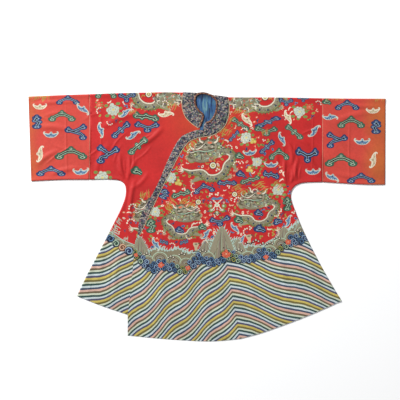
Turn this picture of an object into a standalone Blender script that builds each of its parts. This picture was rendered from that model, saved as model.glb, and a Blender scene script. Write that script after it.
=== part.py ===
"""A Chinese dragon robe laid flat, face up, with its right front lapped under the left.

Sizes are millimetres, turned into metres as each mesh is made. X runs along the sleeves,
Y up to the shoulder fold and Z up from the surface that the robe lies on. Left and right
are the wearer's, so the right side is at -X. The origin is under the middle of the outline.
"""

import math

import bmesh
import bpy
from mathutils import Vector
from mathutils.geometry import delaunay_2d_cdt

MM = 0.001

# Cloth and the way its layers lie on each other
WALL = 1.5  # silk with its lining
COLLAR_WALL = 1.2
LINING_WALL = 1.0
PIPING_HEIGHT = 1.6
PIPING_WIDTH = 2.4
BINDING_HEIGHT = 2.2
BINDING_WIDTH = 8.0
LAYER_GAP = 0.4
SEAM_GAP = 0.3
LAYER = WALL + LAYER_GAP
LINING_LAYER = LINING_WALL + SEAM_GAP
FLOOR_GAP = 0.05

# Rounded edges, where a front turns over into the back at a seam or at the shoulder fold
RIM_RADIUS = 3.3
UNDER_RADIUS = 1.8
CHAMFER = 0.293  # 1 - cos 45
RIM_RISE = 2.2
RIM_REACH = 24.0
LOWEST_RIM = 0.4
BACK_INSET = WALL + LAYER_GAP

# How far past a hidden edge the cloth above it takes to come down
COVER_HOLD = 7.0
COVER_REACH = 44.0
RAMP_STEPS = (COVER_HOLD, 18.0, 31.0, COVER_REACH)

# The neck, where the lining lifts both fronts
NECK_CENTRE = Vector((-8.0, 466.0))
NECK_PLATEAU = 104.0
NECK_SLOPE = 178.0
NECK_RINGS = ((108, 26), (130, 28), (154, 30), (178, 30))  # radius, points

# The lining rises inside the neck to meet the binding at the back
LINING_RISE = 1.5
LINING_RISE_X = (-50.0, 34.0)
LINING_RISE_BLEND = 16.0
LINING_RISE_REACH = 26.0
LINING_RISE_RUN = 20.0

# Where the sleeve extensions are sewn on, and the middle of the back
SEAM_RIGHT_X = -528.0
SEAM_LEFT_X = 520.0
CENTRE_BACK_X = -8.0
COLLAR_BACK_Y = 494.0
COLLAR_CORNER = 2.0

# Spacing of the points along edges and inside panels
EDGE_STEP = 34.0
CENTRE_STEP = 40.0
UNDER_FRONT_STEP = 36.0
OPENING_STEP = 22.0
FLAP_STEP = 14.0
NECK_STEP = 14.0
COLLAR_STEP = 16.0
RIM_STEP = 12.0
FINE_STEP = 8.0
GRID = 62.0
EDGE_MARGIN = 6.0
LINING_GRID = 12.0
LINING_MARGIN = 4.0
DETAIL_APART = 4.3

# Points along the lofted pieces, and across them
SLEEVE_STATIONS = 11
SLEEVE_SPANS = 17
COLLAR_LEFT_STATIONS = 19
COLLAR_RIGHT_STATIONS = 15
COLLAR_SPANS = 3
BAND_STATIONS = 30
BAND_SPANS = 2
BINDING_STATIONS = 44

# The stretch of the binding that crosses the back of the neck, in its stations
BINDING_BACK_START = 18
BINDING_BACK_END = 27
BINDING_DIP = 1.6

# Section of the piping and of the binding: share of the width, share of the height
RIBBON_SECTION = ((0.0, 0.55), (0.25, 1.0), (0.75, 1.0), (1.0, 0.55), (1.0, 0.0), (0.0, 0.0))

# Every line of the robe: rows of x, y that a smooth curve runs through
LINES = {
    "cuff_fold_right": [(-803, 541), (-660, 547), (SEAM_RIGHT_X, 551.5)],
    "shoulder_right": [(SEAM_RIGHT_X, 551.5), (-400, 556), (-211, 560), (-107, 559), (-51, 557)],
    "back_neck": [(-51, 557), (-20, 560.5), (5, 555), (34, 546)],
    "shoulder_left": [(34, 546), (93, 538), (300, 537), (SEAM_LEFT_X, 533)],
    "cuff_fold_left": [(SEAM_LEFT_X, 533), (660, 531.5), (803, 531)],
    "sleeve_under_right": [(-790, 160), (-660, 166), (SEAM_RIGHT_X, 167)],
    "side_right": [(SEAM_RIGHT_X, 167), (-440, 168), (-398, 164), (-374, 150), (-365, 126),
                   (-368, 88), (-386, 38), (-423, -37), (-485, -158), (-540, -262), (-585, -356)],
    "sleeve_under_left": [(SEAM_LEFT_X, 156), (600, 151), (700, 145), (802, 144)],
    "side_left": [(SEAM_LEFT_X, 156), (470, 155), (425, 151), (397, 139), (380, 116), (377, 85),
                  (393, 36), (432, -60), (500, -196), (560, -303), (605, -377)],
    "hem_right": [(-585, -356), (-481, -397), (-355, -440), (-230, -480), (-105, -512)],
    "hem_overlap": [(-357, -534), (-184, -550), (-9, -560), (70, -557), (150, -548)],
    "hem_left": [(150, -548), (247, -521), (409, -462), (530, -412), (605, -377)],
    "hem_back_right": [(-583, -352), (-481, -393), (-355, -436), (-200, -480),
                       (CENTRE_BACK_X, -514)],
    "hem_back_left": [(CENTRE_BACK_X, -514), (150, -524), (300, -489), (450, -437), (602, -372)],
    "centre_front": [(-18, 388), (90, -213), (150, -548)],
    "under_front": [(-32, 403), (-42, 330), (-75, -100), (-105, -512)],
    "opening": [(-18, 388), (-38, 391), (-81, 378), (-113, 361), (-136, 333), (-176, 255),
                (-217, 158), (-260, 77), (-290, 25), (-306, -25), (-311, -80)],
    "band_lower": [(-15, 361), (-40, 357), (-78, 342), (-102, 317), (-135, 263), (-157, 220),
                   (-193, 151), (-237, 60), (-271, -15), (-303, -80)],
    "flap": [(-311, -80), (-323, -113), (-332, -216), (-343, -331), (-355, -434), (-357, -534)],
    "neck_left": [(34, 546), (41, 513), (38, 481), (32, 458), (17, 436), (-7, 424), (-14, 408),
                  (-18, 388)],
    "collar_left": [(93, 538), (98, 498), (94, 449), (78, 409), (47, 380), (20, 367), (-15, 361)],
    "neck_right": [(-51, 557), (-52, 524), (-48, 496), (-32, 474), (-17, 457), (-22, 441),
                   (-31, 419), (-32, 403)],
    "collar_right": [(-107, 559), (-111, 498), (-95, 449), (-68, 421), (-38, 400)],
    "collar_back": [(-107, 559), (-99, 525), (-60, 501), (CENTRE_BACK_X, COLLAR_BACK_Y), (45, 500),
                    (80, 514), (93, 538)],
    "lining": [(-68, 540), (-50, 547), (-20, 558), (5, 552.5), (32, 541), (56, 522), (60, 480),
               (48, 440), (22, 412), (-6, 378), (-40, 378), (-52, 402), (-44, 440), (-68, 480)],
    "binding": [(-30, 409), (-28, 420), (-19, 441), (-19, 460), (-36, 476), (-51, 498), (-55, 524),
                (-49, 545), (-34, 554), (-14, 556), (8, 550), (28, 538), (42, 520), (44, 502),
                (42, 480), (35, 457), (18, 432), (-4, 421)],
}

# Folds of the right front and sleeve: where each starts and ends, its sideways bow,
# half width and height
FOLDS_RIGHT = [
    # x0, y0, x1, y1, bow, half_width, height
    (-373, 168, -392, 292, 7, 13, 6.0),
    (-357, 163, -352, 284, -6, 12, 6.5),
    (-338, 178, -312, 268, 8, 13, 4.5),
    (-326, 168, -350, -72, -9, 15, 6.5),
    (-262, 200, -348, 120, 10, 14, 3.0),
    (-196, 404, -338, 306, 12, 17, 5.0),
    (-500, 192, -436, 336, 12, 17, 3.5),
    (-478, 398, -286, 470, 14, 20, 3.0),
    (-470, -120, -508, -330, 10, 22, 3.0),
    (-390, -150, -420, -405, -8, 20, 2.5),
    (-788, 504, -560, 516, 6, 15, 2.5),
    (-768, 232, -655, 302, 10, 17, 3.5),
    (-772, 402, -596, 382, 12, 19, 3.0),
    (-712, 186, -560, 222, 8, 17, 3.0),
]

# Folds of the left front, its overlap and the left sleeve
FOLDS_LEFT = [
    # x0, y0, x1, y1, bow, half_width, height
    (355, 146, 350, 266, 5, 12, 8.0),
    (378, 152, 381, 218, -5, 9, 6.0),
    (400, 160, 408, 268, 6, 13, 6.5),
    (381, 232, 366, 338, -8, 12, 5.0),
    (329, 206, 312, 296, 6, 13, 3.5),
    (357, 118, 338, -34, -7, 13, 5.0),
    (432, 296, 500, 178, 10, 15, 3.5),
    (412, 352, 470, 300, 6, 14, 3.0),
    (596, 316, 722, 232, -8, 15, 4.0),
    (566, 424, 762, 468, 12, 19, 3.0),
    (786, 498, 566, 508, 6, 15, 2.5),
    (716, 176, 560, 204, 8, 17, 3.0),
    (296, -110, 372, -440, 14, 26, 3.5),
    (424, -150, 520, -392, 10, 22, 3.0),
    (170, -180, 214, -500, 12, 26, 2.5),
    (-30, -300, 10, -552, 10, 26, 2.5),
    (-196, -230, -248, -536, 12, 26, 3.0),
    (120, 330, 288, 236, 10, 18, 2.5),
]

# Ripples of the lining inside the neck
LINING_FOLDS = [
    # x0, y0, x1, y1, bow, half_width, height
    (-25, 488, -30, 538, 3, 6, 2.6),
    (0, 444, -5, 540, -2, 6, 3.0),
    (20, 468, 16, 532, 3, 6, 2.4),
]

COLOURS = {
    # name: red, green, blue, roughness, metallic
    "red_silk": (0.62, 0.05, 0.035, 0.55, 0.0),
    "sleeve_silk": (0.64, 0.085, 0.06, 0.55, 0.0),
    "navy_brocade": (0.09, 0.09, 0.13, 0.6, 0.0),
    "cream_cord": (0.72, 0.62, 0.38, 0.5, 0.0),
    "gold_binding": (0.42, 0.20, 0.10, 0.45, 0.2),
    "blue_lining": (0.05, 0.17, 0.34, 0.5, 0.0),
}


def clear_scene():
    for item in list(bpy.data.objects):
        bpy.data.objects.remove(item, do_unlink=True)


def smoothstep(value):
    value = min(1.0, max(0.0, value))
    return value * value * (3.0 - 2.0 * value)


# Lines and outlines

def smooth(rows, step):
    """Points about every step along a smooth curve through the rows, both ends included."""
    points = [Vector(row) for row in rows]
    lengths = [(b - a).length for a, b in zip(points, points[1:])]
    slopes = [(points[1] - points[0]) / lengths[0]]
    for i in range(1, len(points) - 1):
        slopes.append((points[i + 1] - points[i - 1]) / (lengths[i - 1] + lengths[i]))
    slopes.append((points[-1] - points[-2]) / lengths[-1])
    curve = [points[0]]
    for i, length in enumerate(lengths):
        count = max(1, round(length / step))
        for k in range(1, count + 1):
            t = k / count
            a = (1 + 2 * t) * (1 - t) ** 2
            b = t * (1 - t) ** 2 * length
            c = t * t * (3 - 2 * t)
            d = t * t * (t - 1) * length
            curve.append(points[i] * a + slopes[i] * b + points[i + 1] * c + slopes[i + 1] * d)
    return curve


def line(name, step=EDGE_STEP, back=False):
    points = smooth(LINES[name], step)
    return points[::-1] if back else points


def first(name):
    return Vector(LINES[name][0])


def resample(points, count):
    """The same line as count points, evenly spaced along it."""
    reach = [0.0]
    for a, b in zip(points, points[1:]):
        reach.append(reach[-1] + (b - a).length)
    even = []
    k = 0
    for i in range(count):
        wanted = reach[-1] * i / (count - 1)
        while k < len(points) - 2 and reach[k + 1] < wanted:
            k += 1
        part = (wanted - reach[k]) / max(1e-9, reach[k + 1] - reach[k])
        even.append(points[k].lerp(points[k + 1], min(1.0, part)))
    return even


def offset_line(points, distance):
    """The line moved to its left by distance."""
    moved = []
    for i, point in enumerate(points):
        ahead = points[min(i + 1, len(points) - 1)] - points[max(i - 1, 0)]
        moved.append(point + Vector((-ahead.y, ahead.x)).normalized() * distance)
    return moved


def distance_to(point, loop, closed=True):
    """Distance from point to a polyline."""
    best = 1e9
    ends = loop[1:] + (loop[:1] if closed else [])
    for a, b in zip(loop, ends):
        along = b - a
        t = (point - a).dot(along) / max(1e-9, along.length_squared)
        best = min(best, (a + along * min(1.0, max(0.0, t)) - point).length_squared)
    return math.sqrt(best)


def is_inside(point, loop):
    inside = False
    for a, b in zip(loop, loop[1:] + loop[:1]):
        if (a.y > point.y) != (b.y > point.y):
            if point.x < a.x + (b.x - a.x) * (point.y - a.y) / (b.y - a.y):
                inside = not inside
    return inside


class Outline:
    """A closed outline, anticlockwise, whose stretches are seams that turn under or free edges."""

    def __init__(self, stretches):
        self.points = []
        self.seam = []
        for points, is_seam in stretches:
            for point in points[:-1]:
                self.points.append(point)
                self.seam.append(is_seam)
        self.count = len(self.points)

    def inset(self, distance):
        """The outline's points with its seams moved inwards by distance."""
        moved = []
        for i, point in enumerate(self.points):
            before = point - self.points[i - 1]
            after = self.points[(i + 1) % self.count] - point
            n0 = Vector((-before.y, before.x)).normalized()
            n1 = Vector((-after.y, after.x)).normalized()
            d0 = distance if self.seam[i - 1] else 0.0
            d1 = distance if self.seam[i] else 0.0
            cross = n0.x * n1.y - n0.y * n1.x
            if abs(cross) < 0.08:
                moved.append(point + (n0 + n1).normalized() * (d0 + d1) / 2)
            else:
                x = (d0 * n1.y - d1 * n0.y) / cross
                y = (n0.x * d1 - n1.x * d0) / cross
                moved.append(point + Vector((x, y)))
        return moved

    def touches_seam(self, i):
        return self.seam[i] or self.seam[i - 1]


def front_outlines():
    """The flat outlines of the right front, of the left front and of its overlap."""
    half = Vector((SEAM_GAP / 2, 0))
    sleeve_seam_right = [first("shoulder_right") + half, first("side_right") + half]
    sleeve_seam_left = [first("side_left") - half, first("cuff_fold_left") - half]
    front_right = Outline([
        (line("shoulder_right", back=True), True),
        (smooth(sleeve_seam_right, CENTRE_STEP), False),
        (line("side_right"), True),
        (line("hem_right"), False),
        (line("under_front", UNDER_FRONT_STEP, back=True), False),
        (line("neck_right", NECK_STEP, back=True), False),
    ])
    front_left = Outline([
        (line("shoulder_left", back=True), True),
        (line("neck_left", NECK_STEP), False),
        (line("centre_front", CENTRE_STEP), False),
        (line("hem_left"), False),
        (line("side_left", back=True), True),
        (smooth(sleeve_seam_left, CENTRE_STEP), False),
    ])
    gap = Vector((SEAM_GAP, 0))
    centre = [point - gap for point in line("centre_front", CENTRE_STEP, back=True)]
    front_overlap = Outline([
        (centre, False),
        (centre[-1:] + line("opening", OPENING_STEP)[1:], False),
        (line("flap", FLAP_STEP), False),
        (line("hem_overlap"), False),
    ])
    return front_right, front_left, front_overlap


def back_outlines():
    """Both halves of the back, inside the seams of the fronts, cut away for the collar's back."""
    half = Vector((SEAM_GAP / 2, 0))
    down = Vector((0, SEAM_GAP))
    inset = Vector((0, BACK_INSET))
    corner = Vector((COLLAR_CORNER, 0))
    middle = Vector((CENTRE_BACK_X, COLLAR_BACK_Y)) - down
    cut = [point - down for point in line("collar_back", COLLAR_STEP)]

    start = first("collar_right") - corner
    neck = [point for point in cut if point.x < (middle - half).x] + [middle - half]
    neck[0] = first("collar_right") - Vector((SEAM_GAP, BACK_INSET))
    top = [point for point in line("shoulder_right", back=True) if point.x < start.x]
    hem = [point - half for point in line("hem_back_right")]
    right = Outline([
        ([start] + top, True),
        ([top[-1], first("side_right")], False),
        (line("side_right")[:-1] + [hem[0]], True),
        (hem, False),
        ([hem[-1], neck[-1]], False),
        (neck[::-1] + [start], False),
    ])

    start = first("collar_left") + corner
    neck = [middle + half] + [point for point in cut if point.x > (middle + half).x]
    neck[-1] = first("collar_left") + Vector((SEAM_GAP, -BACK_INSET))
    top = [point for point in line("shoulder_left", back=True) if point.x > start.x]
    hem = [point + half for point in line("hem_back_left")]
    side = line("side_left", back=True)
    left = Outline([
        (top + [start], True),
        ([start - inset] + neck[::-1], False),
        ([neck[0], hem[0]], False),
        (hem, False),
        ([hem[-1]] + side[1:], True),
        ([side[-1], top[0]], False),
    ])
    return right, left


FRONT_RIGHT, FRONT_LEFT, FRONT_OVERLAP = front_outlines()
BACK_RIGHT, BACK_LEFT = back_outlines()
BACK_LOOP = (
    line("hem_back_right") + line("hem_back_left")[1:]
    + line("side_left", back=True)[1:] + line("sleeve_under_left")[1:]
    + line("cuff_fold_left", back=True) + line("shoulder_left", back=True)[1:]
    + line("back_neck", back=True)[1:] + line("shoulder_right", back=True)[1:]
    + line("cuff_fold_right", back=True)[1:] + line("sleeve_under_right")
    + line("side_right")[1:-1]
)
SEAM_LINES = [
    line("cuff_fold_right")[:-1] + line("shoulder_right"),
    line("shoulder_left")[:-1] + line("cuff_fold_left"),
    line("sleeve_under_right")[:-1] + line("side_right"),
    line("side_left", back=True)[:-1] + line("sleeve_under_left"),
]


# Heights of the cloth over the surface that the robe lies on

def bump(folds, point):
    """Height that the folds add at point."""
    total = 0.0
    for x0, y0, x1, y1, bow, half_width, height in folds:
        start = Vector((x0, y0))
        along = Vector((x1, y1)) - start
        length = along.length
        along.normalize()
        away = point - start
        t = away.dot(along) / length
        if not 0.0 < t < 1.0:
            continue
        side = along.x * away.y - along.y * away.x - bow * math.sin(math.pi * t)
        u = side / half_width
        if abs(u) < 1.0:
            total += height * math.sin(math.pi * t ** 0.8) * (1 - u * u) ** 2
    return total


def cover(point, loop):
    """1 over the loop, coming down to 0 at COVER_REACH outside it."""
    if is_inside(point, loop):
        return 1.0
    return smoothstep((COVER_REACH - distance_to(point, loop)) / (COVER_REACH - COVER_HOLD))


def near_neck(point):
    """1 over the neck, where the lining lies under the fronts, and 0 well away from it."""
    away = (point - NECK_CENTRE).length
    return smoothstep((NECK_SLOPE - away) / (NECK_SLOPE - NECK_PLATEAU))


def rim_swell(point):
    """The cloth stands up a little along a sewn or folded edge."""
    away = min(distance_to(point, seam, closed=False) for seam in SEAM_LINES)
    if away > RIM_REACH:
        return 0.0
    return RIM_RISE * (1 - (away / RIM_REACH) ** 2) ** 2 * (1 - near_neck(point))


def top_plain(point):
    """Upper face of a front that lies on the back, before it is folded."""
    base = FLOOR_GAP + LAYER * cover(point, BACK_LOOP) + LINING_LAYER * near_neck(point)
    return base + WALL + rim_swell(point)


def top_right(point):
    """Upper face of the right front and of the right sleeve."""
    return top_plain(point) + bump(FOLDS_RIGHT, point)


def top_left(point):
    """Upper face of the left front, its overlap and sleeve, which lie on the right front."""
    lapped = LAYER * cover(point, FRONT_RIGHT.points)
    return top_plain(point) + lapped + bump(FOLDS_LEFT, point)


def top_lining(point):
    """Upper face of the lining, which rises to meet the binding at the back of the neck."""
    rim = distance_to(point, line("back_neck", RIM_STEP), closed=False)
    low, high = LINING_RISE_X
    window = smoothstep((point.x - low) / LINING_RISE_BLEND)
    window *= smoothstep((high - point.x) / LINING_RISE_BLEND)
    rise = LINING_RISE * smoothstep((LINING_RISE_REACH - rim) / LINING_RISE_RUN) * window
    return LAYER + LINING_WALL + FLOOR_GAP + rise + bump(LINING_FOLDS, point)


# Making the solids

def at_height(point, z):
    return Vector((point.x, point.y, z))


def material_for(colour):
    material = bpy.data.materials.get(colour)
    if material is None:
        material = bpy.data.materials.new(colour)
        material.use_nodes = True
        red, green, blue, roughness, metallic = COLOURS[colour]
        shader = material.node_tree.nodes["Principled BSDF"]
        shader.inputs["Base Color"].default_value = (red, green, blue, 1.0)
        shader.inputs["Roughness"].default_value = roughness
        shader.inputs["Metallic"].default_value = metallic
    return material


def make_item(name, shell, colour):
    """An object in the robe from a bmesh, with its upper face outwards."""
    bmesh.ops.recalc_face_normals(shell, faces=shell.faces[:])
    top_face = max(shell.faces, key=lambda face: face.calc_center_median().z)
    if top_face.normal.z < 0:
        bmesh.ops.reverse_faces(shell, faces=shell.faces[:])
    mesh = bpy.data.meshes.new(name)
    shell.to_mesh(mesh)
    shell.free()
    mesh.materials.append(material_for(colour))
    mesh.shade_smooth()
    mesh.set_sharp_from_angle(angle=math.radians(40))
    item = bpy.data.objects.new(name, mesh)
    ROBE.objects.link(item)
    return item


def thicken(item, thickness):
    """A wall that reaches down from the item's surface."""
    wall = item.modifiers.new("wall", "SOLIDIFY")
    wall.thickness = thickness * MM
    wall.offset = -1.0
    wall.use_even_offset = True


def fold_points(folds):
    """Rows of points along the folds, so that a mesh follows them."""
    points = []
    for x0, y0, x1, y1, bow, half_width, _ in folds:
        start = Vector((x0, y0))
        along = Vector((x1, y1)) - start
        side = Vector((-along.y, along.x)).normalized()
        count = max(3, round(along.length / (2.2 * half_width)))
        for k in range(count + 1):
            t = k / count
            middle = start + along * t + side * bow * math.sin(math.pi * t)
            for across in (0.0, -0.5, 0.5, -1.0, 1.0):
                points.append(middle + side * across * half_width)
    return points


def neck_points():
    """Points round the neck, where the fronts slope down from the collar."""
    points = []
    for radius, count in NECK_RINGS:
        for k in range(count):
            turn = 2 * math.pi * k / count
            points.append(NECK_CENTRE + Vector((math.cos(turn), math.sin(turn))) * radius)
    return points


def ramp_points(edge, side):
    """Points beside a hidden edge, where the cloth above comes down past it."""
    points = []
    for reach in RAMP_STEPS:
        points += offset_line(resample(edge, len(edge)), reach * side)
    return points


def inside_points(loop, wanted, spacing, margin):
    """The wanted points, then a grid, kept inside the loop and apart from each other."""
    low = Vector((min(p.x for p in loop), min(p.y for p in loop)))
    high = Vector((max(p.x for p in loop), max(p.y for p in loop)))
    row_height = spacing * 0.87
    grid = []
    for row in range(int((high.y - low.y) / row_height) + 1):
        shift = spacing / 2 if row % 2 else 0.0
        for column in range(int((high.x - low.x) / spacing) + 1):
            grid.append(low + Vector((shift + column * spacing, row * row_height)))
    kept = []
    for points, apart in ((wanted, DETAIL_APART), (grid, spacing * 0.62)):
        for point in points:
            if not is_inside(point, loop) or distance_to(point, loop) < margin:
                continue
            if all((point - other).length_squared > apart * apart for other in kept):
                kept.append(point)
    return kept


def sheet_shell(loop, details, spacing, margin, top):
    """A bmesh sheet at the height top, and its vertices along the loop."""
    flat = loop + inside_points(loop, details, spacing, margin)
    edges = [(i, (i + 1) % len(loop)) for i in range(len(loop))]
    corners, _, triangles, sources, _, _ = delaunay_2d_cdt(flat, edges, [], 1, 1e-5)
    shell = bmesh.new()
    made = [shell.verts.new(at_height(corner, top(corner)) * MM) for corner in corners]
    for triangle in triangles:
        shell.faces.new([made[k] for k in triangle])
    by_source = {source: made[k] for k, found in enumerate(sources) for source in found}
    return shell, [by_source[i] for i in range(len(loop))]


def panel(name, outline, top, colour, details):
    """A sheet that follows the height top, turned down to the surface along its seams."""
    face = outline.inset(RIM_RADIUS)
    near = outline.inset(RIM_RADIUS * CHAMFER)
    shell, border = sheet_shell(face, details, GRID, EDGE_MARGIN, top)
    tops = [top(point) for point in face]
    levels = [border]
    for ring_points, drop in ((near, RIM_RADIUS * CHAMFER), (outline.points, RIM_RADIUS),
                              (outline.points, None)):
        ring = {}
        for i in range(outline.count):
            if outline.touches_seam(i):
                z = 0.0 if drop is None else max(LOWEST_RIM, tops[i] - drop)
                ring[i] = shell.verts.new(at_height(ring_points[i], z) * MM)
        levels.append(ring)
    for upper, lower in zip(levels, levels[1:]):
        for i in range(outline.count):
            if outline.seam[i]:
                j = (i + 1) % outline.count
                shell.faces.new((upper[j], upper[i], lower[i], lower[j]))
    thicken(make_item(name, shell, colour), WALL)


def loft(name, rows, colour, thickness, closed=False):
    """A wall through rows of 3D points; closed joins each row's last point to its first."""
    shell = bmesh.new()
    grid = [[shell.verts.new(point * MM) for point in row] for row in rows]
    for upper, lower in zip(grid, grid[1:]):
        spans = len(upper) if closed else len(upper) - 1
        for j in range(spans):
            k = (j + 1) % len(upper)
            shell.faces.new((upper[j], upper[k], lower[k], lower[j]))
    thicken(make_item(name, shell, colour), thickness)


def plate(name, loop, colour):
    """A flat panel lying on the surface: a filled outline, extruded by the wall."""
    curve = bpy.data.curves.new(name, "CURVE")
    curve.dimensions = "2D"
    curve.fill_mode = "BOTH"
    curve.extrude = WALL / 2 * MM
    spline = curve.splines.new("POLY")
    spline.points.add(len(loop) - 1)
    for slot, point in zip(spline.points, loop):
        slot.co = (point.x * MM, point.y * MM, 0.0, 1.0)
    spline.use_cyclic_u = True
    drawn = bpy.data.objects.new(name + "_outline", curve)
    ROBE.objects.link(drawn)
    bpy.context.view_layer.update()
    graph = bpy.context.evaluated_depsgraph_get()
    mesh = bpy.data.meshes.new_from_object(drawn.evaluated_get(graph))
    bpy.data.objects.remove(drawn)
    bpy.data.curves.remove(curve)
    shell = bmesh.new()
    shell.from_mesh(mesh)
    bpy.data.meshes.remove(mesh)
    bmesh.ops.remove_doubles(shell, verts=shell.verts[:], dist=0.00002)
    item = make_item(name, shell, colour)
    item.location.z = WALL / 2 * MM


def sleeve(name, fold, under, top):
    """A flattened tube between the fold above the arm and the seam below it."""
    near = RIM_RADIUS * CHAMFER
    turn = UNDER_RADIUS * CHAMFER
    rows = []
    for high, low in zip(resample(fold, SLEEVE_STATIONS), resample(under, SLEEVE_STATIONS)):
        span = (high - low).length
        top_low = top(low.lerp(high, RIM_RADIUS / span))
        top_high = top(high.lerp(low, RIM_RADIUS / span))
        section = [
            # distance from the seam, height
            (UNDER_RADIUS, 0.0),
            (turn, turn),
            (0.0, UNDER_RADIUS),
            (0.0, top_low - RIM_RADIUS),
            (near, top_low - near),
        ]
        for k in range(SLEEVE_SPANS + 1):
            distance = RIM_RADIUS + (span - 2 * RIM_RADIUS) * k / SLEEVE_SPANS
            section.append((distance, top(low.lerp(high, distance / span))))
        section += [
            (span - near, top_high - near),
            (span, top_high - RIM_RADIUS),
            (span, UNDER_RADIUS),
            (span - turn, turn),
            (span - UNDER_RADIUS, 0.0),
            (span * 0.75, 0.0),
            (span * 0.5, 0.0),
            (span * 0.25, 0.0),
        ]
        rows.append([at_height(low.lerp(high, distance / span), z) for distance, z in section])
    loft(name, rows, "sleeve_silk", WALL, closed=True)


def wrap_rows(a, b, top, spans):
    """Rows of a collar's end, from the surface up over the shoulder fold, and the way up it."""
    side = (b - a).normalized()
    up = Vector((-side.y, side.x))
    if up.y < 0:
        up = -up
    lift = LAYER_GAP + COLLAR_WALL
    round_over = (RIM_RADIUS + lift) * math.sqrt(0.5)
    rows = []
    for reach, rise in ((lift, None), (lift, 0.0), (round_over - RIM_RADIUS, round_over)):
        row = []
        for k in range(spans + 1):
            point = a.lerp(b, k / spans)
            z = 0.0 if rise is None else top(point - up * RIM_RADIUS) - RIM_RADIUS + rise
            row.append(at_height(point + up * reach, z))
        rows.append(row)
    return rows, up


def collar_strip(name, inner, outer, spans, top, wraps):
    """A band lying on a front between two lines; it may start by turning over the shoulder fold."""
    rows = []
    inner = list(inner)
    outer = list(outer)
    if wraps:
        rows, up = wrap_rows(inner[0], outer[0], top, spans)
        inner[0] = inner[0] - up * RIM_RADIUS
        outer[0] = outer[0] - up * RIM_RADIUS
    for a, b in zip(inner, outer):
        row = []
        for k in range(spans + 1):
            point = a.lerp(b, k / spans)
            row.append(at_height(point, top(point) + LAYER_GAP + COLLAR_WALL))
        rows.append(row)
    loft(name, rows, "navy_brocade", COLLAR_WALL)


def ribbon(name, path, width, thickness, undersides, colour):
    """A narrow rounded strip along a path, with the height of its underside at each point."""
    left = offset_line(path, width / 2)
    right = offset_line(path, -width / 2)
    shell = bmesh.new()
    grid = []
    for a, b, low in zip(left, right, undersides):
        ring = [at_height(a.lerp(b, share), low + thickness * rise) for share, rise in RIBBON_SECTION]
        grid.append([shell.verts.new(point * MM) for point in ring])
    for upper, lower in zip(grid, grid[1:]):
        for j in range(len(upper)):
            k = (j + 1) % len(upper)
            shell.faces.new((upper[j], upper[k], lower[k], lower[j]))
    shell.faces.new(grid[0])
    shell.faces.new(grid[-1])
    make_item(name, shell, colour)


# The robe's pieces

def build_backs():
    plate("back_right", BACK_RIGHT.inset(BACK_INSET), "red_silk")
    plate("back_left", BACK_LEFT.inset(BACK_INSET), "red_silk")
    down = Vector((0, BACK_INSET))
    gap = Vector((SEAM_GAP, 0))
    low = first("neck_right") + 2 * gap
    high = first("neck_left") - 2 * gap
    rim = [point for point in line("back_neck", RIM_STEP) if low.x < point.x < high.x]
    rim = [point - Vector((0, SEAM_GAP)) for point in [low] + rim + [high]]
    end = first("collar_left") - gap
    left = [point for point in line("shoulder_left", back=True) if high.x < point.x < end.x]
    left = [end] + left + [high]
    end = first("collar_right") + gap
    right = [point for point in line("shoulder_right", back=True) if end.x < point.x < low.x]
    right = [low] + right + [end]
    edge = line("collar_back", COLLAR_STEP)[1:-1]
    edge += [point - down for point in left] + rim[::-1] + [point - down for point in right]
    plate("collar_back", edge, "navy_brocade")


def build_fronts():
    folds = fold_points(FOLDS_LEFT) + neck_points()
    beside = ramp_points(line("under_front", UNDER_FRONT_STEP), 1)
    past_hem = ramp_points(line("hem_right"), -1)
    past_back_right = ramp_points(line("hem_back_right"), -1)
    past_back_left = ramp_points(line("hem_back_left"), -1)
    panel("front_right", FRONT_RIGHT, top_right, "red_silk", fold_points(FOLDS_RIGHT) + neck_points())
    panel("front_left", FRONT_LEFT, top_left, "red_silk", folds + beside + past_back_left)
    panel("front_overlap", FRONT_OVERLAP, top_left, "red_silk",
          folds + past_hem + past_back_right + past_back_left + beside)


def build_sleeves():
    half = Vector((SEAM_GAP / 2, 0))
    fold = line("cuff_fold_right")
    under = line("sleeve_under_right")
    fold[-1] = fold[-1] - half
    under[-1] = under[-1] - half
    sleeve("sleeve_right", fold, under, top_right)
    fold = line("cuff_fold_left")
    under = line("sleeve_under_left")
    fold[0] = fold[0] + half
    under[0] = under[0] + half
    sleeve("sleeve_left", fold, under, top_left)


def build_collar():
    """The collar's three edged pieces, each with a cream piping along its outer edge."""
    reach = PIPING_WIDTH / 2 + 1.6 * SEAM_GAP
    gap = Vector((SEAM_GAP, 0))

    inner = resample(line("neck_left", FINE_STEP), COLLAR_LEFT_STATIONS)
    outer = resample(line("collar_left", FINE_STEP), COLLAR_LEFT_STATIONS)
    collar_strip("collar_left", inner, outer, COLLAR_SPANS, top_left, True)
    path = offset_line(outer, reach)[1:]
    path[-1] = path[-1] + gap
    lay_piping("piping_left", path, top_left)

    inner = resample(line("neck_right", FINE_STEP), COLLAR_RIGHT_STATIONS)
    outer = resample(line("collar_right", FINE_STEP), COLLAR_RIGHT_STATIONS)
    collar_strip("collar_right", inner, outer, COLLAR_SPANS, top_right, True)
    lay_piping("piping_right", offset_line(outer, -reach)[1:], top_right)

    inner = resample(line("opening", RIM_STEP), BAND_STATIONS)
    outer = resample(line("band_lower", RIM_STEP), BAND_STATIONS)
    path = offset_line(outer, reach)
    path[0] = path[0] - gap
    inner[0] = inner[0] - gap
    outer[0] = outer[0] - gap
    collar_strip("opening_band", inner, outer, BAND_SPANS, top_left, False)
    lay_piping("piping_band", path, top_left)


def lay_piping(name, path, top):
    undersides = [top(point) + LAYER_GAP for point in path]
    ribbon(name, path, PIPING_WIDTH, PIPING_HEIGHT, undersides, "cream_cord")


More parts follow.
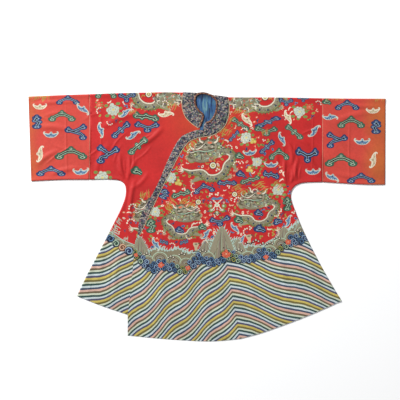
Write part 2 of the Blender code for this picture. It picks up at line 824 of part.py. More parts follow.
def over_collar(top, point):
    """The highest underside of the binding at point, just over the collar on the cloth top."""
    reach = BINDING_WIDTH * 0.6
    around = [(0, 0), (reach, 0), (-reach, 0), (0, reach), (0, -reach)]
    highest = max(top(point + Vector(step)) for step in around)
    return highest + LAYER_GAP + COLLAR_WALL + SEAM_GAP


def build_neck():
    """The lining that shows inside the neck, and the binding round it."""
    rows = LINES["lining"] + LINES["lining"][:1]
    loop = smooth(rows, COLLAR_STEP)[:-1][::-1]
    shell, _ = sheet_shell(loop, fold_points(LINING_FOLDS), LINING_GRID, LINING_MARGIN, top_lining)
    thicken(make_item("lining", shell, "blue_lining"), LINING_WALL)

    path = resample(line("binding", FINE_STEP), BINDING_STATIONS)
    right_end = over_collar(top_right, path[BINDING_BACK_START])
    left_end = over_collar(top_left, path[BINDING_BACK_END])
    undersides = []
    for i, point in enumerate(path):
        if i < BINDING_BACK_START:
            undersides.append(over_collar(top_right, point))
        elif i > BINDING_BACK_END:
            undersides.append(over_collar(top_left, point))
        else:
            share = (i - BINDING_BACK_START) / (BINDING_BACK_END - BINDING_BACK_START)
            level = right_end + (left_end - right_end) * smoothstep(share)
            undersides.append(level - BINDING_DIP * math.sin(math.pi * share) ** 2)
    ribbon("neck_binding", path, BINDING_WIDTH, BINDING_HEIGHT, undersides, "gold_binding")


clear_scene()
ROBE = bpy.data.collections.new("dragon_robe")
bpy.context.scene.collection.children.link(ROBE)
build_backs()
build_fronts()
build_sleeves()
build_collar()
build_neck()
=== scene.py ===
import math
from collections import namedtuple

import bpy
import numpy as np
from mathutils.geometry import delaunay_2d_cdt
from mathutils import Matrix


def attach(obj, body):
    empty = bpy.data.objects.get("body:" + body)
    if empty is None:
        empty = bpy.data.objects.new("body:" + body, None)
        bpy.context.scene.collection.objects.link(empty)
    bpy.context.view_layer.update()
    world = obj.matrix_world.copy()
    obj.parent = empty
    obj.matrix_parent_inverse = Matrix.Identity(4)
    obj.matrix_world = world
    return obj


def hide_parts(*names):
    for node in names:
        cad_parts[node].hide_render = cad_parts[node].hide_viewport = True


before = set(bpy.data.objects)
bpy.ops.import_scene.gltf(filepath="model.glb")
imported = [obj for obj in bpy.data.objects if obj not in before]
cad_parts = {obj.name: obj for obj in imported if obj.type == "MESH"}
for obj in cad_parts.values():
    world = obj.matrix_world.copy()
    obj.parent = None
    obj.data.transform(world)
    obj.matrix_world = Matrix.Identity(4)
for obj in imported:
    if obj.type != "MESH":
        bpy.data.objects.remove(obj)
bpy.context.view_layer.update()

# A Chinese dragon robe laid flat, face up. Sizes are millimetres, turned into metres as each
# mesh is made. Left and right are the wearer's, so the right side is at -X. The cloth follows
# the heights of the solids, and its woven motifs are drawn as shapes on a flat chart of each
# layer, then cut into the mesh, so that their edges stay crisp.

MM = 0.001

# Layers of cloth, as in the solids
WALL = 1.5
CLOTH = 1.1
COLLAR_WALL = 1.2
LINING_WALL = 1.0
LAYER_GAP = 0.4
SEAM_GAP = 0.3
LAYER = WALL + LAYER_GAP
LINING_LAYER = LINING_WALL + SEAM_GAP
FLOOR_GAP = 0.05
RIM_RADIUS = 3.3
RIM_RISE = 2.2
RIM_REACH = 24.0
RIM_EXTRA = 3.6
LOWEST_RIM = 1.0
BACK_INSET = LAYER
COVER_HOLD = 7.0
COVER_REACH = 44.0
NECK_CENTRE = np.array((-8.0, 466.0))
NECK_PLATEAU = 104.0
NECK_SLOPE = 178.0
LINING_RISE = 1.5
LINING_RISE_X = (-50.0, 34.0)
LINING_RISE_BLEND = 16.0
LINING_RISE_REACH = 26.0
LINING_RISE_RUN = 20.0
PIPING_WIDTH = 2.4
PIPING_HEIGHT = 1.6
BINDING_WIDTH = 8.0
BINDING_HEIGHT = 2.2
BINDING_STATIONS = 132
BINDING_BACK_START = 54
BINDING_BACK_END = 81
BINDING_DIP = 1.6
SEAM_RIGHT_X = -528.0
SEAM_LEFT_X = 520.0
CENTRE_BACK_X = -8.0
COLLAR_BACK_Y = 494.0

# Spacing of the cloth's points
EDGE_STEP = 9.0
LATTICE = 4.6
RIM_RINGS = (-2.5, 0.0, 1.3, 2.6, 3.9, 5.2)
APART = 1.9
COARSE_STEP = 34.0
CHUNK = 400000
SEED = 12

# The chart that the motifs are placed on: its square, and the square at the robe's origin
SQUARE = 4.5
CHART_ORIGIN = (207.0, 216.75)

# Every line of the robe: rows of x, y that a smooth curve runs through
LINES = {
    "cuff_fold_right": [(-803, 541), (-660, 547), (SEAM_RIGHT_X, 551.5)],
    "shoulder_right": [(SEAM_RIGHT_X, 551.5), (-400, 556), (-211, 560), (-107, 559), (-51, 557)],
    "back_neck": [(-51, 557), (-20, 560.5), (5, 555), (34, 546)],
    "shoulder_left": [(34, 546), (93, 538), (300, 537), (SEAM_LEFT_X, 533)],
    "cuff_fold_left": [(SEAM_LEFT_X, 533), (660, 531.5), (803, 531)],
    "sleeve_under_right": [(-790, 160), (-660, 166), (SEAM_RIGHT_X, 167)],
    "side_right": [(SEAM_RIGHT_X, 167), (-440, 168), (-398, 164), (-374, 150), (-365, 126),
                   (-368, 88), (-386, 38), (-423, -37), (-485, -158), (-540, -262), (-585, -356)],
    "sleeve_under_left": [(SEAM_LEFT_X, 156), (600, 151), (700, 145), (802, 144)],
    "side_left": [(SEAM_LEFT_X, 156), (470, 155), (425, 151), (397, 139), (380, 116), (377, 85),
                  (393, 36), (432, -60), (500, -196), (560, -303), (605, -377)],
    "hem_right": [(-585, -356), (-481, -397), (-355, -440), (-230, -480), (-105, -512)],
    "hem_overlap": [(-357, -534), (-184, -550), (-9, -560), (70, -557), (150, -548)],
    "hem_left": [(150, -548), (247, -521), (409, -462), (530, -412), (605, -377)],
    "hem_back_right": [(-583, -352), (-481, -393), (-355, -436), (-200, -480),
                       (CENTRE_BACK_X, -514)],
    "hem_back_left": [(CENTRE_BACK_X, -514), (150, -524), (300, -489), (450, -437), (602, -372)],
    "centre_front": [(-18, 388), (90, -213), (150, -548)],
    "under_front": [(-32, 403), (-42, 330), (-75, -100), (-105, -512)],
    "opening": [(-18, 388), (-38, 391), (-81, 378), (-113, 361), (-136, 333), (-176, 255),
                (-217, 158), (-260, 77), (-290, 25), (-306, -25), (-311, -80)],
    "band_lower": [(-15, 361), (-40, 357), (-78, 342), (-102, 317), (-135, 263), (-157, 220),
                   (-193, 151), (-237, 60), (-271, -15), (-303, -80)],
    "flap": [(-311, -80), (-323, -113), (-332, -216), (-343, -331), (-355, -434), (-357, -534)],
    "neck_left": [(34, 546), (41, 513), (38, 481), (32, 458), (17, 436), (-7, 424), (-14, 408),
                  (-18, 388)],
    "collar_left": [(93, 538), (98, 498), (94, 449), (78, 409), (47, 380), (20, 367), (-15, 361)],
    "neck_right": [(-51, 557), (-52, 524), (-48, 496), (-32, 474), (-17, 457), (-22, 441),
                   (-31, 419), (-32, 403)],
    "collar_right": [(-107, 559), (-111, 498), (-95, 449), (-68, 421), (-38, 400)],
    "collar_back": [(-107, 559), (-99, 525), (-60, 501), (CENTRE_BACK_X, COLLAR_BACK_Y), (45, 500),
                    (80, 514), (93, 538)],
    "lining": [(-68, 540), (-50, 547), (-20, 558), (5, 552.5), (32, 541), (56, 522), (60, 480),
               (48, 440), (22, 412), (-6, 378), (-40, 378), (-52, 402), (-44, 440), (-68, 480)],
    "binding": [(-30, 409), (-28, 420), (-19, 441), (-19, 460), (-36, 476), (-51, 498), (-55, 524),
                (-49, 545), (-34, 554), (-14, 556), (8, 550), (28, 538), (42, 520), (44, 502),
                (42, 480), (35, 457), (18, 432), (-4, 421)],
}

# Large folds of the right front and sleeve, as in the solids, then their small creases
FOLDS_RIGHT = [
    # x0, y0, x1, y1, bow, half_width, height
    (-373, 168, -392, 292, 7, 13, 6.0),
    (-357, 163, -352, 284, -6, 12, 6.5),
    (-338, 178, -312, 268, 8, 13, 4.5),
    (-326, 168, -350, -72, -9, 15, 6.5),
    (-262, 200, -348, 120, 10, 14, 3.0),
    (-196, 404, -338, 306, 12, 17, 5.0),
    (-500, 192, -436, 336, 12, 17, 3.5),
    (-478, 398, -286, 470, 14, 20, 3.0),
    (-470, -120, -508, -330, 10, 22, 3.0),
    (-390, -150, -420, -405, -8, 20, 2.5),
    (-788, 504, -560, 516, 6, 15, 2.5),
    (-768, 232, -655, 302, 10, 17, 3.5),
    (-772, 402, -596, 382, 12, 19, 3.0),
    (-712, 186, -560, 222, 8, 17, 3.0),
]
CREASES_RIGHT = [
    # x0, y0, x1, y1, bow, half_width, height
    (-385, 182, -404, 238, 3, 5.0, 2.5),
    (-346, 186, -336, 250, -3, 5.0, 2.3),
    (-366, 196, -372, 262, 2, 4.4, 2.1),
    (-330, 226, -322, 300, 4, 6.2, 1.9),
    (-628, 172, -634, 540, 3, 5.0, 1.5),
    (-476, 176, -482, 540, -3, 5.0, 1.3),
    (-240, 380, -318, 344, 6, 6.0, 2.1),
    (-300, 452, -212, 500, 8, 8.0, 1.4),
    (-560, 430, -470, 470, 7, 8.0, 1.4),
    (-420, 240, -380, 330, 6, 7.0, 1.5),
    (-740, 450, -620, 470, 8, 9.0, 1.2),
    (-700, 330, -590, 300, -8, 9.0, 1.2),
    (-440, -210, -450, -360, 5, 8.0, 1.4),
    (-520, -290, -545, -350, 4, 7.0, 1.2),
    (-500, 250, -560, 340, 8, 9.0, 1.4),
    (-729, 233, -594, 323, 8, 6.0, 1.8),
    (-790, 460, -700, 425, 6, 6.0, 1.6),
    (-560, 260, -470, 330, -8, 6.0, 1.6),
    (-430, 300, -352, 385, 9, 6.0, 1.8),
    (-250, 320, -330, 250, 7, 6.0, 1.6),
]

# The same for the left front, its overlap and the left sleeve
FOLDS_LEFT = [
    # x0, y0, x1, y1, bow, half_width, height
    (355, 146, 350, 266, 5, 12, 8.0),
    (378, 152, 381, 218, -5, 9, 6.0),
    (400, 160, 408, 268, 6, 13, 6.5),
    (381, 232, 366, 338, -8, 12, 5.0),
    (329, 206, 312, 296, 6, 13, 3.5),
    (357, 118, 338, -34, -7, 13, 5.0),
    (432, 296, 500, 178, 10, 15, 3.5),
    (412, 352, 470, 300, 6, 14, 3.0),
    (596, 316, 722, 232, -8, 15, 4.0),
    (566, 424, 762, 468, 12, 19, 3.0),
    (786, 498, 566, 508, 6, 15, 2.5),
    (716, 176, 560, 204, 8, 17, 3.0),
    (296, -110, 372, -440, 14, 26, 3.5),
    (424, -150, 520, -392, 10, 22, 3.0),
    (170, -180, 214, -500, 12, 26, 2.5),
    (-30, -300, 10, -552, 10, 26, 2.5),
    (-196, -230, -248, -536, 12, 26, 3.0),
    (120, 330, 288, 236, 10, 18, 2.5),
]
CREASES_LEFT = [
    # x0, y0, x1, y1, bow, half_width, height
    (366, 156, 362, 214, 3, 5.0, 2.7),
    (389, 160, 395, 236, -3, 5.0, 2.5),
    (415, 168, 424, 232, 3, 5.6, 2.3),
    (342, 180, 334, 250, 3, 5.6, 2.1),
    (395, 250, 398, 330, 4, 6.2, 1.9),
    (346, 270, 330, 340, -5, 6.0, 1.9),
    (366, 96, 362, 20, 3, 6.2, 2.1),
    (640, 150, 646, 524, 4, 5.0, 1.3),
    (470, 170, 476, 520, -3, 5.0, 1.3),
    (200, 470, 330, 430, 10, 9.0, 1.4),
    (60, 300, 170, 250, 8, 9.0, 1.2),
    (-60, 180, 40, 120, 8, 9.0, 1.2),
    (-140, 120, -90, -20, 8, 9.0, 1.4),
    (240, 120, 290, -20, 8, 10.0, 1.4),
    (120, -60, 150, -190, 7, 10.0, 1.2),
    (-200, -60, -230, -190, 6, 9.0, 1.2),
    (330, -230, 350, -340, 5, 8.0, 1.2),
    (460, -230, 486, -320, 4, 8.0, 1.2),
    (60, -330, 70, -460, 5, 9.0, 1.0),
    (-120, -330, -130, -470, 5, 9.0, 1.0),
    (560, 280, 620, 220, 7, 8.0, 1.5),
    (652, 359, 742, 242, 8, 6.0, 1.8),
    (531, 300, 621, 201, -8, 6.0, 1.7),
    (418, 368, 517, 399, 6, 6.0, 1.6),
    (351, 345, 418, 233, 9, 6.0, 1.9),
    (600, 455, 780, 395, -10, 6.0, 1.6),
    (430, 250, 480, 190, 6, 5.5, 1.9),
    (680, 330, 760, 360, 7, 9.0, 1.2),
]
LINING_FOLDS = [
    # x0, y0, x1, y1, bow, half_width, height
    (-25, 488, -30, 538, 3, 6, 2.6),
    (0, 444, -5, 540, -2, 6, 3.0),
    (20, 468, 16, 532, 3, 6, 2.4),
]

# Colours of the silks as they look in the light, red, green and blue from 0 to 255
EXPOSURE = 0.78
INKS = {
    "red": (200, 34, 34),
    "sleeve": (212, 70, 58),
    "orange": (196, 108, 44),
    "blue": (36, 58, 106),
    "deep_blue": (26, 38, 84),
    "sea_green": (36, 66, 54),
    "light_blue": (150, 178, 200),
    "steel": (88, 128, 164),
    "navy": (22, 30, 58),
    "green": (62, 102, 80),
    "dark_green": (36, 66, 54),
    "black_green": (20, 34, 32),
    "pale_green": (178, 200, 172),
    "sage": (156, 172, 146),
    "leaf": (124, 146, 72),
    "lime": (168, 162, 74),
    "cream": (234, 224, 200),
    "pale": (202, 208, 192),
    "tan": (206, 186, 150),
    "stone": (152, 144, 120),
    "taupe": (138, 128, 102),
    "dark_taupe": (98, 88, 68),
    "mauve_grey": (132, 112, 110),
    "olive": (122, 122, 70),
    "yellow": (208, 188, 92),
    "straw": (222, 206, 130),
    "peach": (226, 184, 152),
    "foam": (178, 206, 194),
    # colour of the painted highlight along the sleeve seams, and of the join beyond
    "seam": (224, 128, 106),
    "coral": (230, 112, 78),
    "mauve": (98, 72, 104),
    "brown": (118, 74, 52),
    "black": (26, 26, 30),
    "gold": (184, 142, 64),
    "crimson": (158, 26, 34),
}

# Stripes below the waves, from the top down: silk, and height in squares
STRIPES = [
    ("ice", 1.8), ("slate", 1.9), ("peach", 2.1), ("umber", 2.0), ("sage", 1.8), ("pine", 2.0),
    ("ice", 1.7), ("plum", 1.9), ("straw", 2.1), ("bronze", 2.0), ("sage", 1.7), ("pine", 2.0),
]

# Colours of the silks of the stripes
STRIPE_INKS = {
    "ice": (206, 219, 221),
    "slate": (64, 76, 100),
    "peach": (222, 180, 162),
    "umber": (110, 94, 70),
    "sage": (212, 220, 196),
    "pine": (48, 78, 74),
    "plum": (80, 78, 108),
    "straw": (208, 188, 98),
    "bronze": (116, 104, 56),
}
STRIPE_START = 262.9
STRIPE_PERIOD = sum(height for _, height in STRIPES)


def linear(colour):
    """A silk's colour from 0 to 255 as the linear values that a shader takes, under the studio light."""
    shares = np.array(colour, float) / 255.0
    return EXPOSURE * np.where(shares <= 0.04045, shares / 12.92, ((shares + 0.055) / 1.055) ** 2.4)


def smoothstep(value):
    value = np.clip(value, 0.0, 1.0)
    return value * value * (3.0 - 2.0 * value)


# Lines and outlines

def smooth(rows, step):
    """Points about every step along a smooth curve through the rows, both ends included."""
    points = np.array(rows, float)
    steps = points[1:] - points[:-1]
    lengths = np.hypot(steps[:, 0], steps[:, 1])
    slopes = np.empty_like(points)
    slopes[0] = steps[0] / lengths[0]
    slopes[-1] = steps[-1] / lengths[-1]
    slopes[1:-1] = (points[2:] - points[:-2]) / (lengths[:-1] + lengths[1:])[:, None]
    curve = [points[:1]]
    for i, length in enumerate(lengths):
        count = max(1, round(length / step))
        t = (np.arange(count) + 1)[:, None] / count
        start = (1 + 2 * t) * (1 - t) ** 2
        leave = t * (1 - t) ** 2 * length
        end = t * t * (3 - 2 * t)
        arrive = t * t * (t - 1) * length
        curve.append(points[i] * start + slopes[i] * leave + points[i + 1] * end + slopes[i + 1] * arrive)
    return np.concatenate(curve)


def polar(x, y, reach, angle):
    """The place at a reach from x, y in the angle's direction."""
    return x + reach * math.cos(angle), y + reach * math.sin(angle)


def line(name, step=EDGE_STEP, back=False):
    points = smooth(LINES[name], step)
    return points[::-1] if back else points


def first(name):
    return np.array(LINES[name][0], float)


def resample(points, count):
    """The same line as count points, evenly spaced along it."""
    steps = np.hypot(*(points[1:] - points[:-1]).T)
    reach = np.concatenate([[0.0], np.cumsum(steps)])
    wanted = np.linspace(0.0, reach[-1], count)
    return np.stack([np.interp(wanted, reach, points[:, k]) for k in range(2)], axis=1)


def length_of(points):
    return float(np.hypot(*(points[1:] - points[:-1]).T).sum())


def area_of(loop):
    x, y = loop.T
    return abs(float(x @ np.roll(y, -1) - y @ np.roll(x, -1))) / 2


def leftwards(points):
    """Unit vectors to the left of a line at each of its points."""
    ahead = np.empty_like(points)
    ahead[1:-1] = points[2:] - points[:-2]
    ahead[0] = points[1] - points[0]
    ahead[-1] = points[-1] - points[-2]
    side = np.stack([-ahead[:, 1], ahead[:, 0]], axis=1)
    return side / np.maximum(np.hypot(*side.T), 1e-9)[:, None]


def offset_line(points, distance):
    return points + leftwards(points) * distance


def nearest(points, loop, closed=True):
    """Each point's distance to a polyline, and its nearest place on it."""
    starts = loop if closed else loop[:-1]
    along = (np.roll(loop, -1, axis=0) if closed else loop[1:]) - starts
    squares = np.maximum((along ** 2).sum(axis=1), 1e-9)
    gaps = np.empty(len(points))
    places = np.empty((len(points), 2))
    chunk = max(1, CHUNK // len(starts))
    for k in range(0, len(points), chunk):
        away = points[k:k + chunk, None, :] - starts
        t = np.clip((away * along).sum(axis=2) / squares, 0.0, 1.0)
        apart = ((away - t[:, :, None] * along) ** 2).sum(axis=2)
        best = apart.argmin(axis=1)
        rows = np.arange(len(best))
        gaps[k:k + chunk] = np.sqrt(apart[rows, best])
        places[k:k + chunk] = starts[best] + t[rows, best][:, None] * along[best]
    return gaps, places


def inside(points, loop):
    """Whether each point lies inside a closed outline."""
    ends = np.roll(loop, -1, axis=0)
    rise = np.where(ends[:, 1] == loop[:, 1], 1.0, ends[:, 1] - loop[:, 1])
    slope = (ends[:, 0] - loop[:, 0]) / rise
    within = np.empty(len(points), bool)
    chunk = max(1, CHUNK // len(loop))
    for k in range(0, len(points), chunk):
        x, y = points[k:k + chunk, :1], points[k:k + chunk, 1:]
        crosses = (loop[:, 1] > y) != (ends[:, 1] > y)
        crosses &= x < loop[:, 0] + slope * (y - loop[:, 1])
        within[k:k + chunk] = crosses.sum(axis=1) % 2 == 1
    return within


# How small the turn between two edges is where they count as one straight line
NEARLY_STRAIGHT = 0.08


class Outline:
    """A closed outline, anticlockwise, whose stretches are seams that turn under or free edges."""

    def __init__(self, stretches):
        self.points = np.concatenate([stretch[:-1] for stretch, _ in stretches])
        self.seam = np.concatenate([np.full(len(stretch) - 1, is_seam) for stretch, is_seam in stretches])

    def inset(self, distance):
        """The outline's points with its seams moved inwards by distance."""
        count = len(self.points)
        moved = np.empty_like(self.points)
        for i, point in enumerate(self.points):
            before = point - self.points[i - 1]
            after = self.points[(i + 1) % count] - point
            side_before = np.array((-before[1], before[0])) / math.hypot(*before)
            side_after = np.array((-after[1], after[0])) / math.hypot(*after)
            shift_before = distance if self.seam[i - 1] else 0.0
            shift_after = distance if self.seam[i] else 0.0
            cross = side_before[0] * side_after[1] - side_before[1] * side_after[0]
            if abs(cross) < NEARLY_STRAIGHT:
                both = side_before + side_after
                moved[i] = point + both / math.hypot(*both) * (shift_before + shift_after) / 2
            else:
                x = (shift_before * side_after[1] - shift_after * side_before[1]) / cross
                y = (side_before[0] * shift_after - side_after[0] * shift_before) / cross
                moved[i] = point + (x, y)
        return moved


def front_outlines():
    """The flat outlines of the right front, of the left front and of its overlap."""
    half = np.array((SEAM_GAP / 2, 0.0))
    right_seam = smooth([first("shoulder_right") + half, first("side_right") + half], EDGE_STEP)
    left_seam = smooth([first("side_left") - half, first("cuff_fold_left") - half], EDGE_STEP)
    front_right = Outline([
        (line("shoulder_right", back=True), True),
        (right_seam, False),
        (line("side_right"), True),
        (line("hem_right"), False),
        (line("under_front", back=True), False),
        (line("neck_right", back=True), False),
    ])
    front_left = Outline([
        (line("shoulder_left", back=True), True),
        (line("neck_left"), False),
        (line("centre_front"), False),
        (line("hem_left"), False),
        (line("side_left", back=True), True),
        (left_seam, False),
    ])
    centre = line("centre_front", back=True) - (SEAM_GAP, 0.0)
    opening = line("opening")
    opening[0] = centre[-1]
    front_overlap = Outline([
        (centre, False),
        (opening, False),
        (line("flap"), False),
        (line("hem_overlap"), False),
    ])
    return front_right, front_left, front_overlap


# How far a back's upper edge starts beyond the collar, and its neck stops short of the centre
COLLAR_MARGIN = 2.0
CENTRE_MARGIN = 1.0


def back_outlines():
    """Both halves of the back, inside the seams of the fronts, cut away for the collar's back."""
    half = np.array((SEAM_GAP / 2, 0.0))
    down = np.array((0.0, SEAM_GAP))
    inset = np.array((0.0, BACK_INSET))
    middle = np.array((CENTRE_BACK_X, COLLAR_BACK_Y)) - down
    cut = line("collar_back") - down

    start = first("collar_right") - (COLLAR_MARGIN, 0.0)
    neck = np.concatenate([cut[cut[:, 0] < CENTRE_BACK_X - CENTRE_MARGIN], [middle - half]])
    neck[0] = first("collar_right") - (SEAM_GAP, BACK_INSET)
    top = line("shoulder_right", back=True)
    top = top[top[:, 0] < start[0]]
    hem = line("hem_back_right") - half
    side = line("side_right")[:-1]
    right = Outline([
        (np.concatenate([[start], top]), True),
        (np.array([top[-1], side[0]]), False),
        (np.concatenate([side, hem[:1]]), True),
        (hem, False),
        (np.array([hem[-1], neck[-1]]), False),
        (np.concatenate([neck[::-1], [start]]), False),
    ])

    start = first("collar_left") + (COLLAR_MARGIN, 0.0)
    neck = np.concatenate([[middle + half], cut[cut[:, 0] > CENTRE_BACK_X + CENTRE_MARGIN]])
    neck[-1] = first("collar_left") + (SEAM_GAP, -BACK_INSET)
    top = line("shoulder_left", back=True)
    top = top[top[:, 0] > start[0]]
    hem = line("hem_back_left") + half
    side = line("side_left", back=True)
    left = Outline([
        (np.concatenate([top, [start]]), True),
        (np.concatenate([[start - inset], neck[::-1]]), False),
        (np.array([neck[0], hem[0]]), False),
        (hem, False),
        (np.concatenate([[hem[-1]], side[1:]]), True),
        (np.array([side[-1], top[0]]), False),
    ])
    return right, left


FRONT_RIGHT, FRONT_LEFT, FRONT_OVERLAP = front_outlines()
BACK_RIGHT, BACK_LEFT = back_outlines()


def joined(*stretches):
    """One line from named stretches, each with whether it runs backwards."""
    parts = [line(name, COARSE_STEP, back) for name, back in stretches]
    return np.concatenate([part[:-1] for part in parts[:-1]] + [parts[-1]])


BACK_LOOP = joined(
    ("hem_back_right", False), ("hem_back_left", False), ("side_left", True),
    ("sleeve_under_left", False), ("cuff_fold_left", True), ("shoulder_left", True),
    ("back_neck", True), ("shoulder_right", True), ("cuff_fold_right", True),
    ("sleeve_under_right", False), ("side_right", False))
RIGHT_LOOP = joined(
    ("shoulder_right", True), ("side_right", False), ("hem_right", False),
    ("under_front", True), ("neck_right", True))
SEAM_LINES = [
    joined(("cuff_fold_right", False), ("shoulder_right", False)),
    joined(("shoulder_left", False), ("cuff_fold_left", False)),
    joined(("sleeve_under_right", False), ("side_right", False)),
    joined(("side_left", True), ("sleeve_under_left", False)),
]

# Heights of the cloth over the surface that the robe lies on

# Under 1, so that a fold is highest a little nearer to its first end
FOLD_LEAN = 0.8


def bump(folds, points):
    """Height that the folds add at each point."""
    total = np.zeros(len(points))
    for x0, y0, x1, y1, bow, half_width, height in folds:
        along = np.array((x1 - x0, y1 - y0), float)
        length = math.hypot(*along)
        along /= length
        away = points - (x0, y0)
        t = away @ along / length
        held = np.clip(t, 0.0, 1.0)
        side = along[0] * away[:, 1] - along[1] * away[:, 0] - bow * np.sin(math.pi * held)
        u = side / half_width
        near = (t > 0) & (t < 1) & (np.abs(u) < 1)
        total += np.where(near, height * np.sin(math.pi * held ** FOLD_LEAN) * (1 - u * u) ** 2, 0.0)
    return total


def cover(points, loop):
    """1 over the loop, coming down to 0 at COVER_REACH outside it."""
    gap, _ = nearest(points, loop)
    outside = smoothstep((COVER_REACH - gap) / (COVER_REACH - COVER_HOLD))
    return np.where(inside(points, loop), 1.0, outside)


def near_neck(points):
    away = np.hypot(*(points - NECK_CENTRE).T)
    return smoothstep((NECK_SLOPE - away) / (NECK_SLOPE - NECK_PLATEAU))


def rim_swell(points):
    """The cloth stands up a little along a sewn or folded edge."""
    away = np.min([nearest(points, seam, closed=False)[0] for seam in SEAM_LINES], axis=0)
    share = np.minimum(away / RIM_REACH, 1.0)
    return RIM_RISE * (1 - share ** 2) ** 2 * (1 - near_neck(points))


def top_plain(points):
    """Upper face of a front that lies on the back, before it is folded."""
    base = FLOOR_GAP + LAYER * cover(points, BACK_LOOP) + LINING_LAYER * near_neck(points)
    return base + WALL + rim_swell(points)


def top_right(points):
    return top_plain(points) + bump(FOLDS_RIGHT, points) + bump(CREASES_RIGHT, points)


def top_left(points):
    """Upper face of the left front and sleeve, which lie on the right front."""
    lapped = LAYER * cover(points, RIGHT_LOOP)
    return top_plain(points) + lapped + bump(FOLDS_LEFT, points) + bump(CREASES_LEFT, points)


def top_lining(points):
    """Upper face of the lining, which rises to meet the binding at the back of the neck."""
    rim, _ = nearest(points, line("back_neck"), closed=False)
    low, high = LINING_RISE_X
    window = smoothstep((points[:, 0] - low) / LINING_RISE_BLEND)
    window = window * smoothstep((high - points[:, 0]) / LINING_RISE_BLEND)
    rise = LINING_RISE * smoothstep((LINING_RISE_REACH - rim) / LINING_RISE_RUN) * window
    return LAYER + LINING_WALL + FLOOR_GAP + rise + bump(LINING_FOLDS, points)


# The flat charts that the motifs are drawn on

def at(across, down):
    """A place on the chart, in millimetres of the robe."""
    return np.array(((across - CHART_ORIGIN[0]) * SQUARE, (CHART_ORIGIN[1] - down) * SQUARE))


def on_chart(points):
    """Where points of the robe lie on the chart: across and down."""
    return points[..., 0] / SQUARE + CHART_ORIGIN[0], CHART_ORIGIN[1] - points[..., 1] / SQUARE


Shape = namedtuple("Shape", "outline ink striped low high")


class Design:
    """The shapes woven into one layer of the robe, in the order that they are laid."""

    def __init__(self):
        self.shapes = []

    def add(self, points, ink, striped=False):
        points = np.array(points, float)
        self.shapes.append(Shape(points, ink, striped, points.min(axis=0), points.max(axis=0)))

    def lay(self, motif, rows, *more):
        """Draws a motif at every row of a table."""
        for row in rows:
            motif(self, *row, *more)

    def touching(self, loop):
        """The shapes that lie at least partly inside the loop."""
        low, high = loop.min(axis=0), loop.max(axis=0)
        near = [shape for shape in self.shapes
                if (shape.low <= high).all() and (shape.high >= low).all()]
        return [shape for shape in near
                if inside(shape.outline, loop).any() or inside(loop, shape.outline).any()]


class Pen:
    """Draws shapes in chart squares from a place on a design, resized, turned or mirrored."""

    def __init__(self, design, across, down, size=1.0, turn=0.0, flip=False):
        self.design = design
        self.middle = at(across, down)
        self.size = np.array((size, size) if np.isscalar(size) else size, float)
        if flip:
            self.size[0] = -self.size[0]
        angle = math.radians(turn)
        self.turn = np.array(((math.cos(angle), math.sin(angle)),
                              (-math.sin(angle), math.cos(angle))))

    def shape(self, points, ink, striped=False):
        placed = (np.array(points, float) * self.size) @ self.turn * SQUARE + self.middle
        self.design.add(placed, ink, striped)

    def oval(self, x, y, wide, tall, ink, sides=9, start=0.0):
        turns = start + np.arange(sides) * 2 * math.pi / sides
        self.shape(np.stack([x + wide * np.cos(turns), y + tall * np.sin(turns)], axis=1), ink)

    def disc(self, x, y, radius, ink, sides=9, start=0.0):
        self.oval(x, y, radius, radius, ink, sides, start)

    def flower(self, x, y, radius, lobes, ink, depth=0.14):
        turns = np.arange(lobes * 4) * 2 * math.pi / (lobes * 4)
        reach = radius * (1 - depth + depth * np.cos(lobes * turns))
        self.shape(np.stack([x + reach * np.cos(turns), y + reach * np.sin(turns)], axis=1), ink)

    def stroke(self, points, widths, ink, step=1.6):
        """A curved stroke; widths is one number or one for each end and any between."""
        path = smooth(points, step)
        if np.isscalar(widths):
            widths = (widths, widths)
        share = np.linspace(0.0, 1.0, len(path))
        half = np.interp(share, np.linspace(0.0, 1.0, len(widths)), widths)[:, None] / 2
        side = leftwards(path)
        self.shape(np.concatenate([path + side * half, (path - side * half)[::-1]]), ink)


